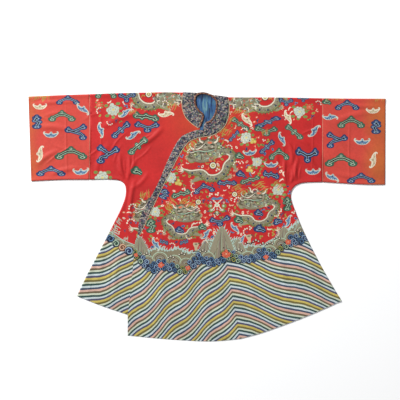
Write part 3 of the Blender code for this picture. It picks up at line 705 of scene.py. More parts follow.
# Cloud forms: heads and knobs as x, y, radius, and the links that run between them
CLOUD_FORMS = {
    "arch": ([(-10.5, -3.4, 2.6), (0, 3, 2.8), (10.5, -3.4, 2.6)],
             [(-6, 0.0, 1.5), (6, 0.0, 1.5)],
             [[(-10.5, -2.6), (-6, 0), (-3, 1.4), (0, 2.0), (3, 1.4), (6, 0), (10.5, -2.6)]]),
    "fork": ([(-8.5, 2.5, 2.8), (8.5, 6, 2.6), (8, -6, 2.8)],
             [(3.6, 3.2, 1.4), (3.4, -1.6, 1.5)],
             [[(-8.5, 2.5), (-4, 0.8), (0, 1.8), (4, 3.6), (8.5, 6)],
              [(-5, 0.8), (1, -0.8), (5, -1.8), (8, -5)]]),
    "stem": ([(0, 5.4, 2.8), (0, -5.2, 2.8)],
             [(-2.6, 1.4, 1.5), (3.0, 0, 1.5)],
             [[(0, 5.4), (-1.6, 1.8), (1.8, -0.4), (0, -5)]]),
    "slant": ([(-7.6, -6.2, 2.7), (7.2, 6.2, 2.9)],
              [(-3.6, -3.4, 1.5), (1.6, -1.6, 1.6), (-1.6, 1.6, 1.6), (3.6, 3.0, 1.6)],
              [[(-7.6, -6), (-3.8, -2.6), (0, 0), (3.8, 3), (7.2, 6)]]),
    "wave": ([(-9, 1.6, 2.4), (9, -1.2, 2.4)],
             [(-3.8, -0.8, 1.6), (0, 1.4, 1.7), (4.0, -0.8, 1.6)],
             [[(-9, 1), (-4, 0.2), (0, 0.6), (4.5, -0.4), (9, -1.4)]]),
    "vee": ([(-9.4, 3.0, 2.7), (9.4, 2.4, 2.6), (0.5, -3.4, 2.6)],
            [(-4.5, 1.2, 1.5), (5, 0.4, 1.5)],
            [[(-9.4, 3), (-4, 1), (0, -0.5), (5, 0), (9.4, 2.4)], [(0, -0.5), (0.5, -3.4)]]),
    "ess": ([(-7.6, 6.4, 2.6), (8.2, 4.6, 2.7), (-7.5, -6.8, 2.8)],
            [(-3, 3.6, 1.6), (4, 1.8, 1.6), (-2, -3.0, 1.6)],
            [[(-7.6, 6.4), (-4, 3.4), (2, 0.5), (8.2, 4.6)],
             [(2, 0.5), (-3, -2.5), (-7.5, -4), (-7.5, -6.6)]]),
    "bit": ([(0, 0.5, 2.9)], [(3.6, -1.8, 1.3)], [[(0, 0), (2.4, -1), (4.6, -2.4)]]),
}
CLOUD_HUES = {
    # outside, line, body, heart
    "blue": ("deep_blue", "light_blue", "blue", "black"),
    "green": ("sea_green", "pale_green", "green", "black_green"),
}
CLOUD_EDGE = 1.0
CLOUD_RIM = 0.45
CLOUD_LINK = 2.4
CLOUD_LINE = 2.2
CLOUD_HEART = 0.56
# How far a head reaches sideways, down and up, in its own radius
HEAD_REACH = (1.32, 1.05, 1.16)


def cap(pen, x, y, radius, grow, ink):
    """A cloud's head: a bar with a lobe at each end and one on top."""
    pen.oval(x, y - 0.6 * radius, 1.2 * radius + grow, 0.42 * radius + grow, ink, 10)
    for side in (-1, 1):
        pen.disc(x + 0.86 * side * radius, y - 0.1 * radius, 0.5 * radius + grow, ink, 8)
    pen.disc(x, y + 0.55 * radius, 0.62 * radius + grow, ink, 9)


def cloud(design, hue, form, across, down, width, height, turn=0.0, flip=False):
    """A scrolled cloud: lobed heads and knobs joined by dark links, lined in a paler silk."""
    heads, knobs, links = CLOUD_FORMS[form]
    aside, below, above = HEAD_REACH
    left = min(x - aside * radius - CLOUD_EDGE for x, _, radius in heads)
    right = max(x + aside * radius + CLOUD_EDGE for x, _, radius in heads)
    low = min(y - below * radius - CLOUD_EDGE for _, y, radius in heads)
    high = max(y + above * radius + CLOUD_EDGE for _, y, radius in heads)
    pen = Pen(design, across, down, (width / (right - left), height / (high - low)), turn, flip)
    edge, pale, body, heart = CLOUD_HUES[hue]
    for grow, ink in ((CLOUD_EDGE, edge), (CLOUD_EDGE - CLOUD_RIM, body)):
        for link in links:
            pen.stroke(link, CLOUD_LINK + 2 * grow, ink)
        for x, y, radius in knobs:
            pen.disc(x, y, radius + grow, ink, 8)
        for x, y, radius in heads:
            cap(pen, x, y, radius, grow, ink)
    for share, ink in ((1.0, pale), (CLOUD_HEART, heart)):
        for link in links:
            pen.stroke(link, CLOUD_LINE * share, ink)
        for x, y, radius in knobs:
            pen.disc(x, y, (radius - 0.3) * share, ink, 7)
        for x, y, radius in heads:
            pen.oval(x, y - 0.45 * radius, 0.9 * radius * share, 0.44 * radius * share, ink, 8)
            pen.disc(x, y + 0.42 * radius, 0.42 * radius * share, ink, 7)


BAT_WING = np.array([(-5.9, 0.9), (-3.2, -0.5), (0, 0.2), (3.2, -0.5), (5.9, 0.9)])
BAT_SWAY = np.array([(0, 0), (0, 0), (0, 0), (0, 0.2), (0, -2.2)])
BAT_CURL = np.array([(0, 0), (1.3, 0.9), (1.2, 2.4), (-0.1, 2.5)])
BAT_SPAN = 14.6
BAT_LEVEL_TURN = 10
BAT_HUES = {
    # by whether the bat is light: rim, band, gleam, marks
    True: ("cream", "tan", "cream", "taupe"),
    False: ("pale", "steel", "light_blue", "blue"),
}


def bat(design, across, down, size, turn=0.0, light=True):
    """A bat with curled and scalloped wings, for good luck; size is its span in squares."""
    pen = Pen(design, across, down, size / BAT_SPAN, turn)
    rim, band, gleam, mark = BAT_HUES[light]
    swayed = abs(turn) > BAT_LEVEL_TURN
    wing = BAT_WING + BAT_SWAY if swayed else BAT_WING
    scallops = [(x, -1.9 + 0.06 * x * x) for x in (-4.6, -2.8, -1.0, 1.0, 2.8)]
    for x, y in scallops:
        pen.disc(x, y, 1.25, rim, 8)
    pen.stroke(wing, (2.8, 4.0, 3.4, 4.0, 2.8), rim, 1.2)
    pen.disc(0.2, 2.0, 1.5, rim, 8)
    for tip, side, lift in ((wing[0], -1, 1), (wing[-1], 1, -1 if swayed else 1)):
        pen.stroke(tip + BAT_CURL * (side, lift), (2.6, 1.9, 1.4, 0.5), rim, 0.9)
    for x, y in scallops:
        pen.disc(x, y, 0.8, band, 6)
    pen.stroke(wing, (0.8, 2.5, 1.8, 2.5, 0.8), band, 1.2)
    for side in (1, -1):
        pen.stroke([(4.8 * side, 0.5), (3.0 * side, 0.3), (1.2 * side, 0.6)], (0.3, 0.9, 0.3), gleam)
        pen.disc(3.1 * side, -1.2, 0.55, mark, 5)
    pen.oval(0.2, 2.0, 0.9, 0.7, band, 6)
    pen.oval(0, 0.2, 0.55, 1.2, mark, 6)


PEONY_SPAN = 14.0
PEONY_PETALS = 9
PEONY_LEAVES = [
    # x, y, half width
    (-6.2, -4.4, 2.2), (6.2, -4.8, 2.5), (-5.4, 5.0, 2.0), (5.6, 5.0, 2.3), (7.4, 0.4, 1.6),
    (-1.0, -6.8, 1.8),
]


PEONY_HUES = {
    # petals, the lines between them, heart
    "pale": ("pale", "sage", "straw"),
    "coral": ("coral", "crimson", "peach"),
}


def peony(design, across, down, size, turn=0.0, petals="pale", leaves=True):
    """A full round flower: ruffled petals one ring inside the other, with small leaves round it."""
    pen = Pen(design, across, down, size / PEONY_SPAN, turn)
    petal, between, heart = PEONY_HUES[petals]
    if leaves:
        for x, y, wide in PEONY_LEAVES:
            pen.oval(x, y, wide, 1.5, "leaf", 7)
            pen.disc(x * 1.08, y * 1.06, 0.6, "olive", 5)
    for k in range(PEONY_PETALS):
        angle = 2 * math.pi * k / PEONY_PETALS + 0.3 + across
        reach = 4.2 + 0.7 * math.sin(k * 2.4 + down)
        wide = 1.9 + 0.35 * math.cos(k * 3.1 + across)
        for radius, ink in ((wide, between), (wide - 0.3, petal)):
            pen.disc(reach * math.cos(angle), 0.92 * reach * math.sin(angle), radius, ink, 8)
    pen.oval(0, 0, 4.4, 4.0, petal, 9)
    for reach, wide in ((4.2, 0.6), (2.6, 0.6)):
        for k in range(5):
            angles = np.radians(72 * k + reach * 20 + np.array((0, 18, 36, 52)))
            pen.stroke(np.stack([reach * np.cos(angles), reach * 0.9 * np.sin(angles)], axis=1),
                       (0.15, wide, wide, 0.15), between)
    pen.oval(0.4, 0.2, 1.3, 1.0, heart, 7)


def small_flowers(design, across, down, size, turn=0.0):
    """Three little yellow flowers close together."""
    pen = Pen(design, across, down, size / 8.0, turn)
    for x, y, radius in ((-1.8, -0.8, 2.0), (1.5, -1.4, 2.2), (0.0, 1.8, 1.9)):
        pen.flower(x, y, radius, 5, "yellow", 0.12)
        pen.oval(x + 0.2, y + 0.2, radius * 0.42, radius * 0.3, "straw", 6)
    pen.disc(-3.4, 1.8, 0.9, "mauve", 6)
    pen.disc(3.6, 1.4, 0.9, "leaf", 6)


PEARL_FLAMES = [
    # direction in degrees, silk
    (20, "coral"), (60, "gold"), (105, "coral"), (150, "gold"), (200, "coral"), (330, "gold"),
]
PEARL_RINGS = [
    # share of the radius, silk, sides
    (1.0, "black", 12), (0.82, "cream", 12), (0.5, "lime", 9), (0.22, "cream", 6),
]


def pearl(pen, x, y, radius):
    """A flaming pearl."""
    near, far = radius * 1.1, radius * 2.3
    for turn, ink in PEARL_FLAMES:
        angle = math.radians(turn)
        pen.stroke([polar(x, y, near, angle), polar(x, y, far * 0.75, angle + 0.35),
                    polar(x, y, far, angle)], (radius * 0.35, radius * 0.3, 0.08), ink)
    for share, ink, sides in PEARL_RINGS:
        pen.disc(x, y, radius * share, ink, sides)


FIRE_INKS = ("lime", "gold", "lime", "coral", "gold")
SPRAY_INKS = ("foam", "pale_green", "foam", "pale_green")


def strands(design, across, down, size, turn=0.0, inks=FIRE_INKS):
    """Parallel curling strands, as of fire or spray."""
    pen = Pen(design, across, down, size / 10.0, turn)
    for k, ink in enumerate(inks):
        x = (k - len(inks) / 2 + 0.5) * 2.3
        tall = 4.4 + 1.8 * math.sin(k * 2.1 + 0.6)
        pen.stroke([(x - 1.6, -tall), (x - 0.2, -0.8), (x - 0.5, 1.2), (x + 2.0, tall)],
                   (0.2, 1.1, 1.0, 0.15), ink)
        pen.stroke([(x - 0.3, 0.4), (x + 1.3, 1.2), (x + 1.7, 2.6)], (0.8, 0.6, 0.1), ink)


def dots(design, across, down, size=1.0, turn=0.0):
    """An arc of pale dots with red hearts, as beside a dragon's joints."""
    pen = Pen(design, across, down, size, turn)
    for k in range(5):
        angle = math.radians(-70 + 35 * k)
        x, y = 3.2 * math.cos(angle), 3.2 * math.sin(angle)
        pen.disc(x, y, 0.78, "cream", 6)
        pen.disc(x * 0.68, y * 0.68, 0.42, "crimson", 5)
    pen.disc(0.2, 0.0, 0.9, "mauve", 6)


DRAGON_SPINE = [(-14, 0.5), (-5, 0), (5, 2.2), (13, 5.6), (21, 6.6), (26.4, 3.4), (25.4, -2.4), (21, -7.4),
                (19, -13.4), (13.6, -18.6), (6.6, -20.6), (0, -19.6), (-4.6, -15.4), (-10, -14.8),
                (-16, -14.6), (-23, -11.6)]
DRAGON_WIDTHS = (7.0, 9.0, 9.4, 8.6, 7.0, 6.4, 6.8, 7.4, 7.8, 7.4, 7.0, 7.4, 8.2, 6.6, 4.4, 1.4)
DRAGON_MASS = [
    (-19, 0), (-18, 5), (-14.5, 8), (-14, 13), (-9, 14.5), (-7, 18.5), (-2, 18), (1, 20.5), (6, 19),
    (8.5, 20), (12, 16.5), (15.5, 15.5), (15, 11.5), (19.5, 9.5), (17, 5), (8, 1), (-6, -3),
]
TUFT_INKS = ("olive", "gold", "lime", "leaf", "coral", "lime")
TAIL_TUFTS = [
    # direction in degrees, silk
    (122, "cream"), (148, "peach"), (172, "cream"), (200, "cream"), (228, "sage"),
]
DRAGON_FACE = [(-13, 6.2), (-13.4, 9.4), (-9.4, 10.4), (-6.4, 13), (-3.4, 14), (-1, 17.2), (4.6, 17.8),
               (9.4, 15.6), (11, 11.6), (9.4, 7.8), (4.4, 5.6), (-1.4, 5.4), (-5.4, 6.6), (-9.6, 5.2)]
DRAGON_LEGS = [
    # hip, knee, foot, direction of the claws in degrees
    ((-11, 0), (-16, -3), (-19, 0.5), 150),
    ((22, -4), (27, -6.5), (29.5, -11.5), -70),
    ((12, -17), (19, -20.5), (23.5, -18.5), 0),
    ((-5, -19), (-10, -21.5), (-14, -24), 200),
]
DRAGON_TUFTS = [
    # root x and y, direction in degrees, length
    (-13, 8, 165, 6), (-13, 11, 150, 6.5), (-11.5, 13, 140, 7), (-9, 15, 128, 6.5), (-6, 17, 118, 5),
    (-16, 4, 172, 5), (-17, 1.5, 190, 4.5), (11, 17, 62, 5), (14, 14, 45, 5.5), (16, 11, 30, 5),
    (18, 8, 24, 4.5), (1, 19, 96, 3.5), (6, 19, 80, 4),
]
SCALE_INKS = ("stone", "stone", "mauve_grey", "sage", "stone", "stone", "sage", "stone", "dark_taupe",
              "stone", "sage")


def claw(pen, foot, direction):
    """A paw with five spread claws."""
    x, y = foot
    for lean in (-80, -40, 0, 40, 80):
        angle = math.radians(direction + lean)
        pen.stroke([foot, polar(x, y, 1.9, angle), polar(x, y, 3.5, angle + 0.4)], (1.0, 0.95, 0.15), "tan")
    pen.disc(x, y, 1.5, "stone", 7)


def fins(pen, spine, side, half, over, last, inks):
    """A row of small points that stand out past one edge of the body."""
    for i in range(2, len(spine) - last, 2):
        root = spine[i] + side[i] * half[i] * over[0]
        tip = spine[i + 1] + side[i + 1] * (half[i + 1] + over[1])
        end = spine[i + 2] + side[i + 2] * half[i + 2] * over[0]
        pen.shape([root, tip, end], inks[(i // 2) % len(inks)])


def dragon(design, across, down, size=1.0, turn=0.0, flip=False, with_pearl=True):
    """A coiled five-clawed dragon: head and chest above, the body swung round below a pearl."""
    pen = Pen(design, across, down, size, turn, flip)
    spine = smooth(DRAGON_SPINE, 1.4)
    side = leftwards(spine)
    share = np.linspace(0.0, 1.0, len(spine))
    half = np.interp(share, np.linspace(0.0, 1.0, len(DRAGON_WIDTHS)), DRAGON_WIDTHS)[:, None] / 2

    for hip, knee, foot, direction in DRAGON_LEGS:
        pen.stroke([hip, knee, foot], (6.4, 5.0, 2.4), "leaf")
        pen.stroke([hip, knee, foot], (4.6, 3.4, 1.4), "stone")
        claw(pen, foot, direction)
    for k, (x, y, lean, long) in enumerate(DRAGON_TUFTS):
        angle = math.radians(lean)
        bend, tip = polar(x, y, 0.55 * long, angle - 0.3), polar(x, y, long, angle + 0.25)
        pen.stroke([(x * 0.8, y * 0.85), bend, tip],
                   (2.2, 1.5, 0.2), TUFT_INKS[k % len(TUFT_INKS)])
    pen.shape(DRAGON_MASS, "dark_taupe")

    fins(pen, spine, -side, half, (-0.6, 1.2), 3, ("leaf", "sea_green", "sage"))
    fins(pen, spine, side, half, (0.5, 2.2), 4, ("lime", "leaf", "sea_green", "olive"))
    for grow, ink in ((0.45, "dark_taupe"), (0.0, "taupe")):
        rim = side * (half + grow)
        pen.shape(np.concatenate([spine + rim, (spine - rim)[::-1]]), ink)
    start = len(spine) // 3
    back, middle = spine + side * half, spine + side * half * 0.35
    pen.shape(np.concatenate([back[start:], middle[start:][::-1]]), "olive")
    scales(pen, spine, side, half)
    belly, out = (spine - side * (half - 0.3))[start:], side[start:]
    pen.shape(np.concatenate([belly + out * 0.8, belly[::-1] - out[::-1] * 0.4]), "cream")

    tail = spine[-1]
    for lean, ink in TAIL_TUFTS:
        angle = math.radians(lean)
        pen.stroke([tail, polar(*tail, 3.2, angle + 0.35), polar(*tail, 6.0, angle)], (1.4, 1.1, 0.2), ink)
    dragon_head(pen)
    if with_pearl:
        pearl(pen, 6.6, -7.6, 3.9)


def scales(pen, spine, side, half):
    """Rows of scales along the body, in silks that change from one to the next."""
    for i in range(1, len(spine) - 3):
        rows = (0.66, 0.22, -0.22, -0.62) if i % 2 else (0.44, 0.0, -0.42)
        for k, across_body in enumerate(rows):
            x, y = spine[i] + side[i] * half[i] * across_body
            radius = max(0.4, float(half[i, 0]) * 0.17)
            pen.disc(x, y, radius, SCALE_INKS[(i * 5 + k * 7) % len(SCALE_INKS)], 5, i * 0.7)
        if i % 6 == 3:
            x, y = spine[i] + side[i] * half[i] * 0.25
            pen.disc(x, y, 1.15, "deep_blue", 6)
            pen.disc(x - 0.2, y + 0.3, 0.5, "green", 5)


DRAGON_CURLS = [
    # along the chest and mane: x, y, radius
    (-15, 2.4, 1.5), (-11.5, 3.4, 1.6), (-7.6, 2.0, 1.5), (-3.8, 3.4, 1.5), (0, 1.8, 1.5), (4, 3.4, 1.6),
    (8, 4.4, 1.5), (12, 5.6, 1.6), (15.6, 8.0, 1.5), (13, 10.8, 1.6), (12, 14.2, 1.5), (-11.6, 12, 1.5),
    (-8, 15.4, 1.4), (16, 4.4, 1.4), (8.6, 17.6, 1.3), (-16, 5.8, 1.3),
]


RUFFLE_INKS = ("stone", "sage", "leaf", "cream", "stone", "pale_green", "deep_blue", "stone", "lime",
               "black_green", "sage", "cream", "foam", "mauve_grey", "coral")

MANE_STROKES = 90


def ruffle(pen, middle, wide, tall):
    """Small curled strokes close together in an oval, as of a mane."""
    chance = np.random.default_rng(SEED)
    for k in range(MANE_STROKES):
        turn, reach = chance.uniform(0, 2 * math.pi), math.sqrt(chance.uniform(0, 1))
        x = middle[0] + wide * reach * math.cos(turn)
        y = middle[1] + tall * reach * math.sin(turn)
        lean, long = chance.uniform(0, math.pi), chance.uniform(1.0, 2.2)
        ahead = np.array((math.cos(lean), math.sin(lean))) * long
        bow = np.array((-ahead[1], ahead[0])) * 0.5
        place = np.array((x, y))
        pen.stroke([place - ahead, place + bow, place + ahead], (0.25, 0.95, 0.2),
                   RUFFLE_INKS[k % len(RUFFLE_INKS)])


def shoulder_mane(design, across, down, wide, tall):
    """The part of a shoulder's dragon that reaches over to the front: its mane and whiskers."""
    pen = Pen(design, across, down)
    pen.oval(0, 0, wide, tall, "dark_taupe", 14)
    pen.oval(0, 0, wide * 0.9, tall * 0.85, "taupe", 14)
    ruffle(pen, (0, 0), wide * 1.05, tall * 1.05)
    for lean in (-160, -120, -80, -45, -15):
        angle = math.radians(lean)
        x, y = wide * 0.9 * math.cos(angle), tall * 0.9 * math.sin(angle)
        pen.stroke([(x * 0.7, y * 0.7), (x + 1.4, y), (x + 1.0, y - 2.4), (x + 3.0, y - 3.2)],
                   (0.9, 0.9, 0.6, 0.1), "cream")


DRAGON_FEATURES = [
    # brow, jaws, tongue, eyebrows, cheeks, horns and whiskers: points, widths, silk
    ([(-12.4, 9.0), (-8.4, 9.2), (-4.6, 11.8), (-1.4, 14.8)], (0.6, 1.1, 1.0, 0.3), "cream"),
    ([(-12.4, 6.4), (-7, 7.4), (-2, 6.4), (4, 6.8)], (0.7, 1.0, 0.9, 0.3), "pale_green"),
    ([(-11.6, 7.8), (-7, 8.2), (-3.4, 8.0)], (0.3, 0.7, 0.2), "crimson"),
    ([(-3.4, 12.6), (-1.2, 13.4), (1.0, 12.8)], (0.3, 0.8, 0.3), "sea_green"),
    ([(4.0, 13.2), (6.2, 13.8), (8.4, 12.6)], (0.3, 0.8, 0.3), "sea_green"),
    ([(1.4, 10.6), (4.4, 9.4), (8.4, 10.0)], (0.3, 0.8, 0.3), "dark_taupe"),
    ([(1.0, 8.0), (4.0, 7.6), (8.0, 8.6)], (0.3, 0.7, 0.3), "pale_green"),
    ([(8, 15.4), (10.8, 17.4), (11.4, 20.4), (13.6, 21.6)], (1.7, 1.5, 1.0, 0.2), "cream"),
    ([(-3.4, 15.6), (-6.6, 17.2), (-7.2, 20.2), (-9.6, 21.2)], (1.7, 1.5, 1.0, 0.2), "cream"),
    ([(-12.6, 9.4), (-15.8, 10.6), (-17.6, 13.6), (-15.4, 15.6)], (0.6, 0.7, 0.5, 0.2), "cream"),
    ([(-12.4, 6.2), (-16, 5.2), (-18.6, 7.2), (-20.6, 6.0)], (0.6, 0.7, 0.5, 0.2), "cream"),
]
CURL_INKS = [("stone", "sea_green"), ("leaf", "cream"), ("sage", "deep_blue"), ("stone", "pale_green")]


def dragon_head(pen):
    """The face, its brows, horns and whiskers, over the curls of the mane."""
    ruffle(pen, (1, 8), 18, 9.5)
    for k, (x, y, radius) in enumerate(DRAGON_CURLS):
        outer, inner = CURL_INKS[k % len(CURL_INKS)]
        pen.disc(x, y, radius, outer, 7)
        pen.oval(x - 0.3, y + 0.2, radius * 0.55, radius * 0.35, inner, 6)
    pen.shape(DRAGON_FACE, "stone")
    for points, widths, ink in DRAGON_FEATURES:
        pen.stroke(points, np.array(widths) + 1.3, "black_green" if ink == "pale_green" else "dark_taupe")
    for points, widths, ink in DRAGON_FEATURES:
        pen.stroke(points, np.array(widths) + 0.2, ink)
    pen.oval(3.4, 15.6, 2.4, 1.2, "coral", 8)
    for x in (-1.4, 5.6):
        pen.disc(x, 11.6, 1.05, "cream", 7)
        pen.disc(x - 0.1, 11.6, 0.6, "black", 6)
    pen.disc(-11.4, 8.6, 0.5, "black", 5)


SWIRL_HUES = {
    # edge, curl, body
    "blue": ("navy", "light_blue", "deep_blue"),
    "deep": ("navy", "steel", "navy"),
    "green": ("navy", "pale_green", "sea_green"),
    "yellow": ("navy", "lime", "sea_green"),
    "brown": ("brown", "peach", "brown"),
}
CURL_TURNS = np.radians(np.array((200, 150, 100, 50, 0, -50, -100, -160, -220, -280)))
CURL_REACH = np.array((2.9, 2.8, 2.7, 2.55, 2.35, 2.1, 1.8, 1.45, 1.05, 0.6))


def swirl(design, across, down, radius, hue, flip):
    """A curl of the sea: a pale line that winds in on a dark round."""
    pen = Pen(design, across, down, radius / 3.4, 0.0, flip)
    edge, curl, body = SWIRL_HUES[hue]
    pen.disc(0, 0, 3.4, edge, 10)
    pen.disc(0.1, 0.2, 2.2, body, 9)
    path = np.stack([CURL_REACH * np.cos(CURL_TURNS), CURL_REACH * np.sin(CURL_TURNS)], axis=1)
    pen.stroke(path, (0.3, 0.85, 0.85, 0.8, 0.7, 0.5), curl, 2.0)


MOUND_INKS = ("pale_green", "taupe", "stone", "dark_taupe", "stone", "mauve_grey", "sage", "brown")


def mound(design, across, down, radius):
    """A hump of the sea: arcs one inside the other."""
    pen = Pen(design, across, down, radius)
    turns = np.linspace(0.0, math.pi, 11)
    for k, ink in enumerate(MOUND_INKS):
        reach = 1.0 - k * 0.115
        pen.shape(np.stack([reach * np.cos(turns), reach * 0.92 * np.sin(turns) - 0.25], axis=1), ink)


def mountain(design, across, down, width, height):
    """A peak that stands in the waves: a rounded cone with lines down it, and spray on both sides."""
    pen = Pen(design, across, down, (width / 20.0, height / 20.0))
    for k in range(13):
        rise = 0.06 + 0.075 * k
        x = 10.0 * (1 - rise ** 1.6) ** 0.85
        y = 19.5 * rise
        for s in (1, -1):
            lift = 1.2 + 0.8 * math.sin(k * 2.1 + s)
            pen.stroke([(s * x * 0.85, y - 1.0), (s * (x + 0.8), y - 0.2), (s * (x + 1.8), y + lift)],
                       (1.3, 0.9, 0.1), "foam")
    for grow, ink in ((0.35, "sage"), (0.0, "stone")):
        rise = np.linspace(0.0, 1.0, 9)
        reach = (10.0 + grow) * (1 - rise ** 1.6) ** 0.85
        half = np.stack([reach, (19.5 + grow) * rise], axis=1)
        pen.shape(np.concatenate([half, (half * (-1, 1))[::-1]]), ink)
    for k, lean in enumerate(np.linspace(-0.86, 0.86, 11)):
        tall = 18.0 * (1 - lean * lean * 0.8)
        sway = 0.5 * math.sin(k * 2.4)
        pen.stroke([(lean * 3.6, tall), (lean * 6.6 + sway, tall * 0.55), (lean * 8.8, 0.5)],
                   (0.2, 0.5, 0.5), ("dark_taupe", "sage", "taupe", "mauve_grey")[k % 4])


def foam(design, across, down):
    """A small splash: a few pale drops with dark edges."""
    pen = Pen(design, across, down)
    for x, y, radius in ((-2.6, -0.6, 1.3), (0.0, 0.8, 1.5), (2.6, -0.4, 1.3)):
        pen.disc(x, y, radius, "black", 7)
        pen.disc(x - 0.2, y + 0.2, radius * 0.55, "cream", 6)


def treasure(design, across, down, size, turn=0.0):
    """A small pale vase on a dark stand, one of the treasures that float by the waves."""
    pen = Pen(design, across, down, size / 10.0, turn)
    pen.shape([(-2.6, -4.6), (-3.6, -5.6), (3.6, -5.6), (2.6, -4.6)], "black")
    pen.shape([(-1.2, -4.8), (-1.5, -1.4), (-3.0, 1.4), (-2.8, 3.4), (2.8, 3.4), (3.0, 1.4), (1.5, -1.4),
               (1.2, -4.8)], "tan")
    pen.oval(0, 1.8, 1.6, 1.0, "taupe", 7)
    pen.stroke([(2.2, 3.0), (4.4, 1.8), (4.8, -1.8)], (1.6, 1.3, 0.4), "brown")
    pen.stroke([(3.0, -3.8), (4.8, -2.6)], (1.2, 0.5), "mauve")


def emblem(design, across, down, size):
    """A chime stone over crossed ribbons, flowers and leaves."""
    pen = Pen(design, across, down, size / 20.0)
    for x, y in ((-7, -1), (7, -1), (-6, -5.4), (6, -5.4), (0, -8)):
        pen.oval(x, y, 2.6, 2.2, "leaf", 7)
        pen.disc(x * 0.92, y * 0.92, 1.2, "pale", 6)
    for s in (1, -1):
        pen.stroke([(5.2 * s, 6.4), (0, 1.0), (-4.6 * s, -4.6)], (0.9, 1.3, 0.9), "cream")
        pen.stroke([(6.4 * s, 4.4), (4.4 * s, 2.6), (5.4 * s, 0.6)], (0.8, 1.0, 0.4), "mauve")
    pen.shape([(-6.6, 5.4), (-4, 8.0), (0, 7.0), (4, 8.6), (6.8, 6.6), (2.4, 5.4), (-2, 5.0)], "steel")
    pen.shape([(-3, 0), (0, 2.6), (3, 0), (0, -2.6)], "cream")
    pen.shape([(-1.5, 0), (0, 1.3), (1.5, 0), (0, -1.3)], "pale_green")
    for x, y, radius in ((-3.4, -4.6, 1.2), (0.2, -4.2, 1.0), (3.6, -4.8, 1.2), (-6.4, 2.6, 1.1),
                         (6.8, 2.4, 1.0), (-3.0, 3.8, 0.8), (2.6, 3.6, 0.8), (0.4, -9.6, 1.1)):
        pen.disc(x, y, radius, "cream", 6)
        pen.disc(x, y, radius * 0.5, "sea_green", 5)
    for x, y in ((-8.6, 4.4), (8.4, 5.2), (-8.8, -6.4), (8.8, -6.0), (-2.6, -8.4), (2.8, -8.6)):
        pen.oval(x, y, 1.3, 0.8, "mauve", 6)


BIT_INKS = (("cream", "crimson"), ("mauve", "navy"), ("lime", "olive"), ("cream", "coral"),
            ("steel", "navy"), ("coral", "cream"), ("leaf", "dark_green"), ("peach", "crimson"))

BIT_CLEAR = 1.6
BIT_RING = 1.4
BIT_APART = 3.5
BIT_TRIES = 14


def bare_spots(design, region, wanted, chance):
    """Random places in a region of the chart with no motif on or close to them."""
    region = np.array([at(*place) for place in region])
    low, high = region.min(axis=0), region.max(axis=0)
    outlines = [shape.outline for shape in design.shapes]
    lows = np.array([shape.low for shape in design.shapes]) - BIT_CLEAR * SQUARE
    highs = np.array([shape.high for shape in design.shapes]) + BIT_CLEAR * SQUARE
    ring = np.array([(0, 0), (1, 0), (-1, 0), (0, 1), (0, -1), (0.7, 0.7), (-0.7, -0.7)]) * SQUARE * BIT_RING
    placed = []
    for _ in range(wanted * BIT_TRIES):
        spot = chance.uniform(low, high)
        if len(placed) >= wanted:
            break
        if not inside(spot[None], region)[0]:
            continue
        if any(np.hypot(*(spot - other)) < BIT_APART * SQUARE for other in placed):
            continue
        near = np.flatnonzero(((spot > lows) & (spot < highs)).all(axis=1))
        if not any(inside(spot + ring, outlines[k]).any() for k in near):
            placed.append(spot)
    return placed


def fill_ground(design, region, wanted, chance):
    """Small sprigs and beads scattered where the ground is still bare."""
    for k, spot in enumerate(bare_spots(design, region, wanted, chance)):
        pen = Pen(design, *on_chart(spot), chance.uniform(0.85, 1.3), chance.uniform(0, 360))
        outer, heart = BIT_INKS[k % len(BIT_INKS)]
        if k % 3 == 0:
            pen.stroke([(-1.8, -0.9), (-0.4, 0.3), (1.6, 0.5), (2.0, -0.7)], (0.3, 1.2, 1.1, 0.2), outer)
            pen.disc(-0.2, 0.9, 0.55, heart, 5)
        elif k % 3 == 1:
            for x, y in ((-1.1, 0), (1.1, 0.2), (0, 1.2)):
                pen.disc(x, y, 0.75, outer, 6)
            pen.disc(0, 0.3, 0.5, heart, 5)
        else:
            pen.oval(0, 0, 1.6, 1.0, outer, 7)
            pen.oval(0.1, 0, 0.8, 0.45, heart, 5)


# Where each motif lies on the chart, by layer

CLOUDS_RIGHT = [
    # hue, form, across, down, width, height; turn and mirrored where they aren't 0 and False
    ("blue", "arch", 68, 100, 24, 10),
    ("green", "arch", 62, 116, 28, 12),
    ("blue", "stem", 37, 122, 10, 15),
    ("blue", "fork", 76, 132, 23, 17),
    ("green", "arch", 71, 153, 33, 14),
    ("blue", "arch", 51, 171, 30, 11),
    ("green", "arch", 106, 93, 22, 12),
    ("blue", "vee", 127, 97, 18, 12, 0, True),
    ("green", "wave", 146, 117, 27, 11),
    ("blue", "slant", 121, 130, 20, 18),
    ("blue", "vee", 147, 127, 26, 12),
    ("green", "slant", 138, 146, 21, 19),
    ("blue", "ess", 108, 154, 24, 20),
    ("green", "bit", 136, 171, 11, 9),
]
BATS_RIGHT = [
    # across, down, span, turn, pale
    (40, 107, 13, 0, True),
    (83, 109, 14, -24, False),
    (51, 135, 14, 0, False),
    (40, 154, 15, 92, True),
    (81, 172, 15, 4, False),
    (125, 113, 13, 48, False),
    (101, 130, 14, -64, False),
    (133, 135, 14, 45, False),
    (166, 114, 14, 18, True),
]
